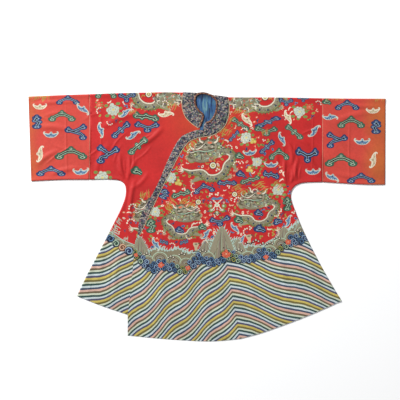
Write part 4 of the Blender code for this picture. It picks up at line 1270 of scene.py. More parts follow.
CLOUDS_LEFT = [
    # hue, form, across, down, width, height; turn and mirrored where they aren't 0 and False
    ("blue", "arch", 347, 105, 25, 11),
    ("green", "arch", 351, 122, 28, 13),
    ("blue", "stem", 376, 127, 10, 15, 0, True),
    ("blue", "fork", 337, 140, 22, 17, 0, True),
    ("green", "arch", 341, 160, 33, 14),
    ("blue", "arch", 361, 178, 29, 11),
    ("green", "slant", 240, 124, 19, 14, 0, True),
    ("blue", "slant", 268, 122, 27, 12),
    ("green", "vee", 266, 131, 24, 11),
    ("blue", "vee", 286, 102, 15, 9),
    ("blue", "vee", 303, 99, 12, 7),
    ("green", "bit", 326, 102, 9, 6),
    ("green", "slant", 294, 132, 19, 16, 0, True),
    ("blue", "slant", 234, 136, 11, 12),
    ("blue", "slant", 267, 147, 16, 15),
    ("green", "arch", 279, 154, 21, 13),
    ("green", "bit", 239, 156, 9, 7),
    ("blue", "vee", 307, 155, 24, 17),
    ("blue", "bit", 240, 174, 9, 7),
    ("blue", "wave", 271, 175, 17, 10),
    ("blue", "arch", 204, 188, 22, 11, 8, False),
    ("blue", "wave", 227, 183, 20, 8, 8, False),
    ("green", "wave", 250, 180, 21, 8, 8, True),
    ("green", "wave", 181, 194, 20, 9, 6, True),
    ("blue", "stem", 164, 194, 10, 11, -25, False),
    ("green", "stem", 151, 226, 10, 15),
    ("blue", "wave", 164, 242, 9, 7),
    ("blue", "wave", 184, 242, 9, 7, 0, True),
    ("blue", "bit", 179, 230, 9, 7),
    ("blue", "bit", 258, 213, 9, 7),
    ("blue", "vee", 220, 221, 22, 11, 6, True),
    ("green", "bit", 238, 220, 9, 8),
    ("green", "bit", 202, 227, 8, 7),
    ("blue", "bit", 259, 229, 12, 8),
    ("green", "stem", 287, 204, 9, 15),
    ("blue", "bit", 277, 222, 9, 7, 30, False),
]
BATS_LEFT = [
    # across, down, span, turn, pale
    (373, 111, 13, 4, True),
    (330, 117, 14, 12, False),
    (362, 142, 15, 0, False),
    (373, 160, 15, 88, True),
    (247, 120, 14, -34, True),
    (288, 117, 13, -50, True),
    (282, 139, 13, -52, False),
    (314, 131, 14, 62, False),
    (250, 153, 13, 8, False),
    (271, 165, 13, 0, False),
    (313, 172, 14, 4, False),
    (332, 177, 14, -16, False),
    (156, 244, 13, -48, False),
    (235, 228, 12, -38, False),
    (206, 234, 12, 62, False),
    (288, 221, 12, 82, False),
    (242, 239, 9, 70, False),
]
PEONIES_RIGHT = [
    # across, down, size, turn, petals
    (113, 110, 15, 10, "pale"),
    (102, 178, 16, 0, "pale"),
    (99, 105, 7, 0, "coral"),
]
PEONIES_LEFT = [
    # across, down, size, turn, petals
    (299, 112, 14, 0, "pale"),
    (246, 138, 14, 20, "pale"),
    (257, 162, 12, 0, "pale"),
    (171, 178, 13, 0, "pale"),
    (155, 212, 13, 10, "pale"),
    (278, 190, 14, 0, "pale"),
    (309, 107, 7, 0, "coral"),
]
SMALL_FLOWERS = [
    # across, down, size, turn
    (253, 141, 7, 20), (249.5, 169.5, 8, 0), (178.5, 182.5, 8, 0),
]
STRANDS_LEFT = [
    # across, down, size, turn
    (240, 112, 9, -30), (226, 119, 11, -20), (226, 131, 9, -20), (262, 187, 10, -45),
    (239, 189, 9, -50), (171, 205, 11, 60), (186, 203, 9, -40), (265, 132, 6, 20),
    (191, 146, 9, 40), (330, 97, 8, 10), (340, 98, 7, -10), (380, 98, 8, 0), (278, 185, 8, -30),
]
STRANDS_RIGHT = [
    # across, down, size, turn
    (145, 195, 9, 20), (172, 106, 9, -10), (41, 97, 8, -12), (46, 98, 7, 10), (32, 97, 7, -20),
    (133, 112, 6, 0),
]
SPRAY_RIGHT = [(116, 229, 9, 70), (119, 221, 6, 60), (126, 239, 5, 10), (113, 234, 6, 80)]
DOTS_LEFT = [
    # across, down, size, turn
    (191, 152, 1.0, 120), (237, 165, 1.1, 100), (240, 142, 1.0, 60), (194, 194, 0.9, 150),
    (161, 234, 1.0, 100), (196, 210, 1.0, 60), (238, 201, 1.1, 120), (247, 232, 1.1, 160),
    (276, 213, 1.0, -40), (244, 131, 0.9, 80), (231, 107, 0.9, 40), (205, 243, 0.8, 90),
    (172, 246, 0.9, 60), (194, 186, 0.9, 200), (276, 233, 0.9, 20), (255, 192, 0.9, 90),
    (283, 118, 0.8, 30), (318, 104, 0.9, 60), (229, 148, 0.9, 60), (189, 236, 0.9, 250),
]
DOTS_RIGHT = [
    # across, down, size, turn
    (134, 107, 0.9, 180), (165, 104, 1.0, 60),
    (100, 111, 1.0, 150), (110, 122, 0.9, 250), (133, 208, 1.2, 120), (131, 223, 1.2, 110),
]
SEA_TOP = [(118, 234), (130, 238), (136, 234), (142, 240), (148, 250), (158, 247), (168, 250),
           (178, 248), (190, 252), (200, 250), (206, 240), (213, 240), (221, 238), (230, 240),
           (237, 238), (243, 246), (252, 245), (262, 246), (272, 240), (283, 234), (290, 228),
           (300, 220), (318, 214)]
SWIRL_PATH = [(118, 248), (128, 254), (136, 256), (144, 265), (152, 269), (161, 267), (171, 269),
              (179, 271), (186, 270), (193, 265), (200, 261), (214, 264), (227, 257), (240, 261),
              (252, 259), (261, 255), (272, 257), (279, 251), (288, 244), (298, 241), (306, 239),
              (316, 234)]
UNDER_SEA_TOP = [(96, 228), (110, 231), (122, 239), (136, 245), (150, 250)]
UNDER_SWIRL_PATH = [(96, 236), (104, 236), (110, 238), (116, 243), (123, 248), (129, 250),
                    (140, 255), (152, 261)]
UNDER_SWIRLS = [
    # across, down, radius, hue, flipped
    (104, 234, 4.2, "brown", True), (110.5, 238.5, 4.4, "deep", False), (116, 243.5, 4.0, "green", False),
    (122.5, 247.5, 4.2, "brown", True), (129, 251, 4.6, "blue", False), (136, 254, 4.2, "green", False),
    (143, 257, 4.4, "deep", True),
]
MOUNDS_LEFT = [
    # across, down, radius
    (132, 252, 7), (148, 260, 7), (160, 257, 8), (174, 260, 8), (186, 262, 6.5), (196, 258, 6),
    (208, 256, 6.5), (236, 255, 6.5), (248, 256, 7.5), (259, 251, 7.5), (270, 250, 7),
    (281, 243, 8), (292, 236, 7.5), (303, 231, 7), (312, 227, 7),
]
MOUNDS_RIGHT = [(106, 236, 6), (118, 243, 6.5), (130, 249, 6.5), (142, 254, 6.5)]
PEAKS = [
    # across, down, width, height
    (140, 259, 19, 23), (206, 260, 18, 20), (238, 258, 18, 20), (222, 261, 27, 36),
    (284, 243, 18, 17), (301, 236, 14, 16),
]
CORALS = [(161, 265, 7), (188, 268, 6), (136, 255, 5), (226, 254, 10), (266, 257, 6),
          (288, 242, 7)]
FOAMS = [(147, 254), (182, 254), (171, 257), (203, 251), (248, 243), (256, 241), (270, 243),
         (239, 250), (277, 238), (298, 231), (263, 244)]
TREASURES = [(196, 246, 10, 0), (249, 238, 10, 8), (278, 229, 6, -20)]

SHOULDER_DRAGON_RIGHT = [(155, 87, 0.95, 0, True)]
SHOULDER_DRAGON_LEFT = [(258.7, 90, 0.95)]
SHOULDER_MANE_RIGHT = [(168, 99, 14, 7)]
SHOULDER_MANE_LEFT = [(245, 103, 15, 7)]
DRAGONS_RIGHT = [(151, 215, 0.86, 10)]
DRAGONS_LEFT = [
    # across, down, size, turn, mirrored, with its pearl
    (206.5, 158, 0.98), (185.5, 219, 0.8, 12, True, False), (254.5, 206, 0.84, -6, False, False),
]
PEARLS = [(198.3, 202, 3.1), (234.6, 194.3, 3.0), (149, 94, 3.0)]
EMBLEM = (217, 205, 20)
BARE_RIGHT = [
    # region, number of sprigs
    ([(128, 205), (150, 200), (150, 240), (112, 232)], 10),
    ([(96, 100), (128, 103), (120, 124), (98, 122)], 7),
]
BARE_LEFT = [
    # region, number of sprigs
    ([(160, 165), (176, 137), (232, 112), (262, 118), (286, 180), (300, 218), (272, 240), (240, 236),
      (206, 238), (150, 250), (136, 234), (150, 190)], 190),
    ([(280, 106), (318, 100), (318, 118), (290, 122)], 8),
]

# The back, seen from below, about the centre seam
BACK_MIDDLE = CHART_ORIGIN[0] + CENTRE_BACK_X / SQUARE
BACK_SWIRL_PATH = [(60, 276), (90, 262), (125, 258), (160, 264), (BACK_MIDDLE, 268), (250, 264),
                   (285, 256), (320, 262), (350, 280)]
BACK_SEA_TOP = [(60, 262), (90, 248), (125, 246), (160, 252), (BACK_MIDDLE, 246), (250, 250),
                (285, 243), (320, 248), (350, 264)]
BACK_PEAKS = (-92, -58, 58, 92)
BACK_DRAGONS = [
    # across, down, size, turn, mirrored, with its pearl
    (BACK_MIDDLE, 150, 1.0), (BACK_MIDDLE - 36, 214, 0.86, 8, True, False),
    (BACK_MIDDLE + 36, 214, 0.86, -8, False, False),
]
BACK_FORMS = ("arch", "vee", "slant", "ess", "fork")
BACK_CLOUDS = [
    (100, 106), (130, 124), (104, 150), (150, 104), (150, 182), (136, 234), (262, 104),
    (286, 124), (306, 106), (300, 152), (262, 182), (276, 234), (BACK_MIDDLE, 186),
    (BACK_MIDDLE, 228), (128, 196), (284, 196), (124, 168), (290, 168), (54, 104), (62, 124),
    (52, 146), (60, 168), (74, 136), (352, 104), (344, 124), (354, 146), (346, 168), (332, 136),
]
BACK_BATS = [
    (116, 138), (120, 110), (160, 130), (252, 130), (292, 138), (290, 110), (152, 244),
    (258, 244), (140, 150), (272, 150), (40, 116), (38, 158), (76, 110), (80, 156),
    (366, 116), (368, 158), (330, 110), (326, 156),
]
BACK_PEONIES = [(140, 116), (272, 116), (150, 200), (262, 200), (112, 182), (300, 182)]
BARE_BACK = [([(120, 110), (290, 110), (300, 236), (112, 236)], 60)]
SWIRL_ORDER = ("deep", "blue", "blue", "green", "deep", "blue", "yellow", "blue", "deep", "green")


STRIPE_MARGIN = 260.0

STRIPE_FALL = 60.0
STRIPE_DEPTH = 600.0
SEA_STEP = 12.0
SEA_FOAM = 3.0
PATH_STEP = 2.0
SWIRL_BED = (3.4, -2.2)
SWIRL_ROWS = (-6.2, -2.6, 1.2)
# A painted highlight along each sleeve's seam and a narrower pale line at the join beyond: their ends in y,
# the join's x as a share of the seam's, and their half widths
SEAM_LINE_ENDS = (600.0, 120.0)
SEAM_LINE_OUT = 1.19
SEAM_LINE_HALVES = (1.7, 0.7)


def stripes_below(design, path):
    """Stripes from a path down past the hem."""
    top = [at(*place) for place in path]
    left = top[0] - (STRIPE_MARGIN, STRIPE_FALL)
    right = top[-1] + (STRIPE_MARGIN, -STRIPE_FALL)
    deep = np.array((0.0, STRIPE_DEPTH))
    design.add([left] + top + [right, right - deep, left - deep], "taupe", striped=True)


def waves(design, sea_top, swirl_path):
    """The sea, edged with foam, over the stripes' upper edge."""
    stripes_below(design, swirl_path)
    upper = smooth([at(*place) for place in sea_top], SEA_STEP)
    lower = smooth([at(*place) for place in swirl_path], SEA_STEP)
    design.add(np.concatenate([upper, lower[::-1]]), "taupe")
    design.add(np.concatenate([upper, offset_line(upper, -SEA_FOAM)[::-1]]), "foam")


def spaced_along(path, step):
    """Places a step of squares apart along a path on the chart."""
    rows = smooth([at(*place) for place in path], PATH_STEP)
    return resample(rows, round(length_of(rows) / (step * SQUARE)))


def swirls_along(design, path, step, radius):
    """Curls in staggered rows down a path, the upper row broken so that they stand in clusters."""
    places = spaced_along(path, step)
    upper, lower = [offset_line(places, rise * SQUARE) for rise in SWIRL_BED]
    design.add(np.concatenate([upper, lower[::-1]]), "navy")
    for row, drop in enumerate(SWIRL_ROWS):
        for k, place in enumerate(places):
            if row == 0 and math.sin(k * 0.9) < 0.1:
                continue
            across, down = on_chart(place)
            x = across + (step / 2 if row % 2 else 0.0)
            y = down + drop + 0.9 * math.sin(k * 0.9 + 0.4)
            hue = SWIRL_ORDER[(k * 3 + row * 7) % len(SWIRL_ORDER)]
            turned = (k + row) % 3 == 0
            swirl(design, x, y, radius * (0.95 + 0.15 * math.sin(k * 2.3 + row)), hue, turned)


def spray_along(design, path, step, chance):
    """Small curling strands of spray that stand along the sea's upper edge."""
    for place in spaced_along(path, step):
        pen = Pen(design, *on_chart(place), chance.uniform(0.7, 1.5), chance.uniform(-40, 40))
        pen.stroke([(0, -1.6), (-0.3, 0.4), (0.4, 1.6), (1.4, 1.9)], (1.5, 1.1, 0.7, 0.1), "foam")


def seam_highlight_and_join(design, middle):
    """A pale line painted along a sleeve's seam as a highlight against the shade of the gap between the
    panels, and a narrower pale line at the join beyond it.
    """
    top, low = SEAM_LINE_ENDS
    for x, half in zip((middle, middle * SEAM_LINE_OUT), SEAM_LINE_HALVES):
        design.add([(x - half, low), (x + half, low), (x + half, top), (x - half, top)], "seam")


def right_design(chance):
    """The right front and the right sleeve."""
    design = Design()
    seam_highlight_and_join(design, SEAM_RIGHT_X)
    waves(design, UNDER_SEA_TOP, UNDER_SWIRL_PATH)
    design.lay(mound, MOUNDS_RIGHT)
    design.lay(swirl, UNDER_SWIRLS)
    design.lay(dragon, SHOULDER_DRAGON_RIGHT)
    design.lay(shoulder_mane, SHOULDER_MANE_RIGHT)
    design.lay(dragon, DRAGONS_RIGHT)
    design.lay(cloud, CLOUDS_RIGHT)
    design.lay(peony, PEONIES_RIGHT)
    design.lay(strands, STRANDS_RIGHT)
    design.lay(strands, SPRAY_RIGHT, SPRAY_INKS)
    design.lay(dots, DOTS_RIGHT)
    design.lay(bat, BATS_RIGHT)
    design.lay(fill_ground, BARE_RIGHT, chance)
    return design


def left_design(chance):
    """The left front, its overlap and the left sleeve."""
    design = Design()
    seam_highlight_and_join(design, SEAM_LEFT_X)
    waves(design, SEA_TOP, SWIRL_PATH)
    spray_along(design, SEA_TOP, 2.4, chance)
    design.lay(mountain, PEAKS)
    design.lay(mound, MOUNDS_LEFT)
    swirls_along(design, SWIRL_PATH, 5.2, 3.0)
    design.lay(peony, CORALS, 0, "coral", False)
    design.lay(foam, FOAMS)
    design.lay(treasure, TREASURES)
    design.lay(dragon, SHOULDER_DRAGON_LEFT)
    design.lay(shoulder_mane, SHOULDER_MANE_LEFT)
    design.lay(dragon, DRAGONS_LEFT)
    for across, down, radius in PEARLS:
        pearl(Pen(design, across, down), 0, 0, radius)
    emblem(design, *EMBLEM)
    design.lay(cloud, CLOUDS_LEFT)
    design.lay(peony, PEONIES_LEFT)
    design.lay(small_flowers, SMALL_FLOWERS)
    design.lay(strands, STRANDS_LEFT)
    design.lay(dots, DOTS_LEFT)
    design.lay(bat, BATS_LEFT)
    design.lay(fill_ground, BARE_LEFT, chance)
    return design


def back_design(chance):
    """The back, seen from below: the same family of motifs, laid out evenly."""
    design = Design()
    waves(design, BACK_SEA_TOP, BACK_SWIRL_PATH)
    for away in BACK_PEAKS:
        mountain(design, BACK_MIDDLE + away, 262 - abs(away) * 0.06, 18, 18)
    mountain(design, BACK_MIDDLE, 266, 28, 36)
    swirls_along(design, BACK_SWIRL_PATH, 5.6, 3.1)
    design.lay(dragon, BACK_DRAGONS)
    for k, place in enumerate(BACK_CLOUDS):
        form = BACK_FORMS[k % len(BACK_FORMS)]
        cloud(design, ("blue", "green")[k % 2], form, *place, 24, 14, 0, k % 3 == 0)
    for k, place in enumerate(BACK_BATS):
        bat(design, *place, 14, (k % 3 - 1) * 20, k % 2 == 0)
    design.lay(peony, BACK_PEONIES, 14)
    design.lay(fill_ground, BARE_BACK, chance)
    return design


# How the stripes slope, as the height in squares that they gain by a place on the chart

CENTRE_SEAM = (227.0, 264.0, 240.0, 339.0)
# Slope, sway and the sway's period, away from the centre seam
LEFT_SLANT = (-0.36, 2.0, 60)
RIGHT_SLANT = (0.78, 1.6, 38)
BACK_SLANT = (0.55, 1.6, 46)
UNDER_SLOPE = [(60, -2), (77, -1), (95, 0), (100, 0.3), (105, 1.6), (110, 4.1), (115, 7.2),
               (120, 10.3), (125, 12.8), (130, 15), (150, 24)]


def slanted(away, slope, sway, period):
    """A slope with a slow wave in it."""
    return slope * away + sway * np.sin(away * 2 * math.pi / period)


def phase_front(points):
    """The stripes of the outer front rise to the centre seam from both sides."""
    across, down = on_chart(points)
    x0, y0, x1, y1 = CENTRE_SEAM
    away = across - (x0 + (x1 - x0) * (down - y0) / (y1 - y0))
    return down + np.where(away > 0, slanted(away, *LEFT_SLANT), slanted(away, *RIGHT_SLANT))


def phase_under(points):
    """The stripes of the right front follow the slope of its hem."""
    across, down = on_chart(points)
    xs, rises = zip(*UNDER_SLOPE)
    return down + np.interp(across, xs, rises)


def phase_back(points):
    """The stripes of the back rise to its middle from both sides."""
    across, down = on_chart(points)
    slope, sway, period = BACK_SLANT
    away = np.abs(across - CHART_ORIGIN[0] - CENTRE_BACK_X / SQUARE)
    return down - slope * away + sway * np.sin(away * 2 * math.pi / period)


# Ground colour of the cloth

WARM_SHARE = 0.32
WARM_REACH = 150.0
# How far out each sleeve starts to fade to orange, and how far the fade runs
FADE_LEFT = 675.0
FADE_RIGHT = 730.0
FADE_RUN = 95.0
FADE_SHARE = 0.66
FADE_MOST = 0.95
# An uneven edge to the fade: share, waves' length over a full turn, start and run
UNEVEN_SHARE = 0.14
UNEVEN_LENGTH = 31.0
UNEVEN_START = 660.0
UNEVEN_RUN = 90.0


def ground_body(points):
    """Red, warmer beside the collar."""
    warm = WARM_SHARE * np.exp(-(np.hypot(*(points - NECK_CENTRE).T) / WARM_REACH) ** 2)
    return linear(INKS["red"]) * (1 - warm)[:, None] + linear(INKS["orange"]) * warm[:, None]


def ground_sleeve(points):
    """A lighter red that has faded to orange towards the cuff."""
    reach = np.abs(points[:, 0])
    start = np.where(points[:, 0] > 0, FADE_LEFT, FADE_RIGHT)
    fade = smoothstep((reach - start) / FADE_RUN) * FADE_SHARE
    uneven = UNEVEN_SHARE * np.sin(points[:, 1] / UNEVEN_LENGTH)
    fade = fade + uneven * smoothstep((reach - UNEVEN_START) / UNEVEN_RUN)
    fade = np.clip(fade, 0.0, FADE_MOST)[:, None]
    return linear(INKS["sleeve"]) * (1 - fade) + linear(INKS["orange"]) * fade


# Meshes

# A lattice's rows are this share of its spacing apart, and it stays this share away from the edge
ROW_SHARE = 0.87
EDGE_SHARE = 0.45
# Where a lattice is twice as close: over folds at least this high, and near a rim
FOLD_SHOWS = 0.02
RIM_NEAR = RIM_REACH * 0.7
CREASE_WIDEST = 1.6 * LATTICE
CREASE_STEP = 4.0
CREASE_SHARES = (0.0, 0.42, -0.42, 0.9, -0.9)
CUT_NEAR = 0.004
# The lower side of the cloth: the spacing of its points, and its height over the surface
LOWER_LATTICE = 12.0
LOWER_LEVEL = 0.02
# A point this close to the face isn't beyond it, and the least share of the room that a rim takes
ON_FACE = 1e-6
LEAST_ROOM = 0.05


def lattice(loop, spacing, folds=(), rims=()):
    """Points inside a loop on a staggered grid, twice as close over folds, rims and layers' edges."""
    low, high = loop.min(axis=0), loop.max(axis=0)
    row_height = spacing * ROW_SHARE
    points = []
    coarse = []
    for row in range(int((high[1] - low[1]) / row_height) + 1):
        x = np.arange(low[0] + (spacing / 2 if row % 2 else 0.0), high[0], spacing)
        y = np.full(len(x), low[1] + row * row_height)
        points.append(np.stack([x, y], axis=1))
        coarse.append((np.arange(len(x)) % 2 == (row // 2) % 2) & (row % 2 == 0))
    points = np.concatenate(points)
    coarse = np.concatenate(coarse)
    busy = bump(folds, points) > FOLD_SHOWS
    for rim in rims:
        gap, _ = nearest(points, rim, closed=False)
        busy |= gap < RIM_NEAR
    kept = points[(coarse | busy) & inside(points, loop)]
    gap, _ = nearest(kept, loop)
    return kept[gap > spacing * EDGE_SHARE]


def crease_points(creases):
    """Rows of points over the narrow creases, close enough to carry their form."""
    rows = [np.zeros((0, 2))]
    for x0, y0, x1, y1, bow, half_width, _ in creases:
        if half_width > CREASE_WIDEST:
            continue
        length = math.hypot(x1 - x0, y1 - y0)
        along = np.array((x1 - x0, y1 - y0)) / length
        side = np.array((-along[1], along[0]))
        t = np.linspace(0.0, 1.0, round(length / CREASE_STEP))[:, None]
        middle = (x0, y0) + along * length * t + side * bow * np.sin(math.pi * t)
        rows += [middle + side * half_width * share for share in CREASE_SHARES]
    return np.concatenate(rows)


def triangles(points, edges, loop, shapes):
    """The triangles inside a loop that keep some edges, and the last shape that each lies in."""
    corners, _, faces, _, _, _ = delaunay_2d_cdt(points.tolist(), edges, [], 0, CUT_NEAR, False)
    corners = np.array([tuple(corner) for corner in corners])
    faces = np.array(faces)
    faces = faces[inside(corners[faces].mean(axis=1), loop)]
    middles = corners[faces].mean(axis=1)
    owner = np.full(len(faces), -1)
    for k, shape in enumerate(shapes):
        near = np.flatnonzero(((middles >= shape.low) & (middles <= shape.high)).all(axis=1))
        if len(near):
            owner[near[inside(middles[near], shape.outline)]] = k
    used, faces = np.unique(faces, return_inverse=True)
    return corners[used], faces.reshape(-1, 3), owner


def shown_edges(faces, looks):
    """The edges of triangles at the sheet's rim and between two different looks."""
    edges = np.sort(np.concatenate([faces[:, [0, 1]], faces[:, [1, 2]], faces[:, [2, 0]]]), axis=1)
    edges, place = np.unique(edges, axis=0, return_inverse=True)
    sides = np.tile(looks, 3)
    low = np.full(len(edges), sides.max() + 1)
    high = np.full(len(edges), sides.min() - 1)
    place = place.ravel()
    np.minimum.at(low, place, sides)
    np.maximum.at(high, place, sides)
    return edges[(low < high) | (np.bincount(place) == 1)]


def cut_sheet(loop, shapes, extra):
    """Triangles of a flat sheet cut along its shapes' edges: points, corners and each one's shape."""
    outlines = [loop] + [shape.outline for shape in shapes]
    edges = []
    start = 0
    for outline in outlines:
        count = len(outline)
        edges += [(start + i, start + (i + 1) % count) for i in range(count)]
        start += count
    flat, faces, owner = triangles(np.concatenate(outlines), edges, loop, shapes)
    names = {}
    looks = [names.setdefault((shape.ink, shape.striped), len(names)) for shape in shapes] + [-1]
    kept, edges = np.unique(shown_edges(faces, np.array(looks)[owner]), return_inverse=True)
    taken = flat[kept]
    points = np.concatenate([taken, spread_out(extra, taken)])
    return triangles(points, edges.reshape(-1, 2).tolist(), loop, shapes)


def set_back(points, face_loop, top):
    """Where a flat sheet's points lie: rounded over beyond the face's edge and down to the surface."""
    gap, foot = nearest(points, face_loop)
    over = ~inside(points, face_loop) & (gap > ON_FACE)
    places = np.column_stack([points, top(np.where(over[:, None], foot, points))])
    reach = gap[over]
    out = (points[over] - foot[over]) / reach[:, None]
    angle = np.minimum(reach / RIM_RADIUS, math.pi / 2)
    places[over, :2] = foot[over] + out * (RIM_RADIUS * np.sin(angle))[:, None]
    level = places[over, 2] - RIM_RADIUS * (1 - np.cos(angle))
    quarter = RIM_RADIUS * math.pi / 2
    room = np.clip((level - LOWEST_RIM) / (RIM_RADIUS + RIM_EXTRA - quarter), LEAST_ROOM, 1.0)
    places[over, 2] = level - np.maximum(0.0, reach - quarter) * room
    return places


def upper_side(outline, top, design, folds, rims):
    """A sheet over a front's or a sleeve's solid, rounded over its seams, and its shapes."""
    loop = outline.inset(-RIM_EXTRA)
    rings = [outline.inset(RIM_RADIUS - beyond)[outline.seam] for beyond in RIM_RINGS]
    extra = np.concatenate(rings + [crease_points(folds), lattice(loop, LATTICE, folds, rims)])
    extra = spread_out(extra[inside(extra, loop)])
    shapes = design.touching(loop)
    flat, faces, owner = cut_sheet(loop, shapes, extra)
    return set_back(flat, outline.inset(RIM_RADIUS), top), faces, owner, shapes


def lower_side(loop, shapes):
    """A sheet with its woven side down on the surface, and its shapes."""
    flat, faces, owner = cut_sheet(loop, shapes, lattice(loop, LOWER_LATTICE))
    return np.column_stack([flat, np.full(len(flat), LOWER_LEVEL)]), faces[:, ::-1], owner, shapes


def both_sides(upper, lower):
    """An upper and a lower side as one sheet, and the shapes of both."""
    places, faces, owner, shapes = upper
    more_places, more_faces, more_owner, more_shapes = lower
    return (np.concatenate([places, more_places]),
            np.concatenate([faces, more_faces + len(places)]),
            np.concatenate([owner, np.where(more_owner < 0, -1, more_owner + len(shapes))]),
            shapes + more_shapes)


def sharpen_rim(mesh):
    """Keeps the shading of an open sheet's rim apart from that of its faces."""
    owners = np.empty(len(mesh.loops), np.int32)
    mesh.loops.foreach_get("edge_index", owners)
    rim = np.bincount(owners, minlength=len(mesh.edges)) == 1
    sharp = mesh.attributes.new("sharp_edge", "BOOLEAN", "EDGE")
    sharp.data.foreach_set("value", rim)


def make_cloth(name, sheet, ground, phase, materials):
    """A mesh object with its motif and ground colours and its stripes' phase."""
    places, faces, owner, shapes = sheet
    mesh = bpy.data.meshes.new(name + "_cloth")
    mesh.from_pydata((places * MM).tolist(), [], faces.tolist())
    for material in materials:
        mesh.materials.append(material)
    striped = np.array([shape.striped for shape in shapes] + [False])
    mesh.polygons.foreach_set("material_index", striped[owner].astype(np.int32))
    tones = ground(places[:, :2])[faces]
    inks = np.array([linear(INKS[shape.ink]) for shape in shapes] + [(0.0, 0.0, 0.0)])
    is_motif = owner >= 0
    tones[is_motif] = inks[owner[is_motif]][:, None, :]
    marks = np.broadcast_to(is_motif[:, None, None], tones.shape[:2] + (1,))
    values = np.concatenate([tones, marks], axis=2)
    ink = mesh.attributes.new("ink", "FLOAT_COLOR", "CORNER")
    ink.data.foreach_set("color", values.astype(np.float32).ravel())
    step = mesh.attributes.new("phase", "FLOAT", "POINT")
    phases = (phase(places[:, :2]) - STRIPE_START) / STRIPE_PERIOD
    step.data.foreach_set("value", phases.astype(np.float32))
    mesh.shade_smooth()
    mesh.update()
    sharpen_rim(mesh)
    return in_scene(name + "_cloth", mesh)


def in_scene(name, data):
    """A new object in the scene with some data."""
    item = bpy.data.objects.new(name, data)
    bpy.context.scene.collection.objects.link(item)
    return item


# The most of its flat box that a piece's own area may fill
AREA_MOST = 1.0005


def stand_for(item, node):
    """The item takes the place of its solid, and rides with it."""
    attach(item, "root")
    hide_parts(node)


def thicken(item, thickness, inner=0):
    """A wall behind the item's face, in the material that is inner places on in its list."""
    wall = item.modifiers.new("wall", "SOLIDIFY")
    wall.thickness = thickness * MM
    wall.offset = -1.0
    wall.use_even_offset = False
    wall.material_offset = inner
    wall.material_offset_rim = 0


def dress(item, node, area, size):
    """The item stands for its solid."""
    stand_for(item, node)
    width, length = size
    area = min(area, AREA_MOST * width * length)


def spread_of(loop):
    """The width and the length of the box round a loop."""
    return loop.max(axis=0) - loop.min(axis=0)


def lay_piece(name, sheet, loop, phase, materials):
    """A piece of the robe's body, cut to a loop."""
    item = make_cloth(name, sheet, ground_body, phase, materials)
    thicken(item, CLOTH, len(materials) if len(materials) > 1 else 0)
    dress(item, name, area_of(loop), spread_of(loop))


def panel(name, outline, top, design, folds, rims, phase, materials):
    """A front: a sheet over its solid, rounded over its seams."""
    sheet = upper_side(outline, top, design, folds, rims)
    lay_piece(name, sheet, outline.inset(-RIM_EXTRA), phase, materials)


def spread_out(points, taken=()):
    """The points in order, without those closer than APART to a taken or an earlier one."""
    cells = {}
    for x, y in taken:
        cells.setdefault((int(x // APART), int(y // APART)), []).append((x, y))
    kept = []
    for point in points:
        x, y = point
        i, j = int(x // APART), int(y // APART)
        if any((x - a) ** 2 + (y - b) ** 2 < APART * APART
               for di in (-1, 0, 1) for dj in (-1, 0, 1)
               for a, b in cells.get((i + di, j + dj), ())):
            continue
        cells.setdefault((i, j), []).append((x, y))
        kept.append(point)
    return np.array(kept).reshape(-1, 2)


def back_panel(name, outline, design, materials):
    """Half of the back, with its woven side down on the surface."""
    loop = outline.inset(BACK_INSET)
    lay_piece(name, lower_side(loop, design.touching(loop)), loop, phase_back, materials)


def sleeve(name, fold, under, top, design, back, folds, materials):
    """A flattened tube: its upper side rounds over both long edges onto the lower side."""
    outline = Outline([
        (under, True),
        (np.array([under[-1], fold[-1]]), False),
        (fold[::-1], True),
        (np.array([fold[0], under[0]]), False),
    ])
    loop = outline.inset(-RIM_EXTRA)
    under_loop = outline.inset(BACK_INSET)
    sheet = both_sides(upper_side(outline, top, design, folds, [under, fold]),
                       lower_side(under_loop, back.touching(under_loop)))
    item = make_cloth(name, sheet, ground_sleeve, phase_back, materials)
    thicken(item, CLOTH, len(materials))
    width, depth = spread_of(loop)
    dress(item, name, area_of(loop) + area_of(under_loop), (width, 2 * depth))


def grid_mesh(name, grid, materials, closed=False):
    """A mesh through rows of places, all with the same number of them."""
    rows, columns, _ = grid.shape
    spans = columns if closed else columns - 1
    faces = []
    for i in range(rows - 1):
        for j in range(spans):
            k = (j + 1) % columns
            faces.append((i * columns + j, i * columns + k, (i + 1) * columns + k,
                          (i + 1) * columns + j))
    mesh = bpy.data.meshes.new(name)
    mesh.from_pydata((grid.reshape(-1, 3) * MM).tolist(), [], faces)
    for material in materials:
        mesh.materials.append(material)
    mesh.shade_smooth()
    mesh.update()
    return in_scene(name, mesh)


def facing_up(item):
    """Turns an open sheet's faces to look up."""
    mesh = item.data
    if sum(face.normal.z * face.area for face in mesh.polygons) <= 0:
        mesh.flip_normals()


COLLAR_SPANS = 8
COLLAR_STEP = 4.0
# Where a strip turns over the shoulder fold: its lowest level, its directions round the fold, the
# steps in which it eases back, and the length that it takes up
TURN_LEVEL = 0.3
TURN_ANGLES = np.linspace(math.pi / 2, 0.12, 7)
TURN_EASE = 4.0
TURN_LENGTH = 7.0
STRIP_SHARE = 0.8


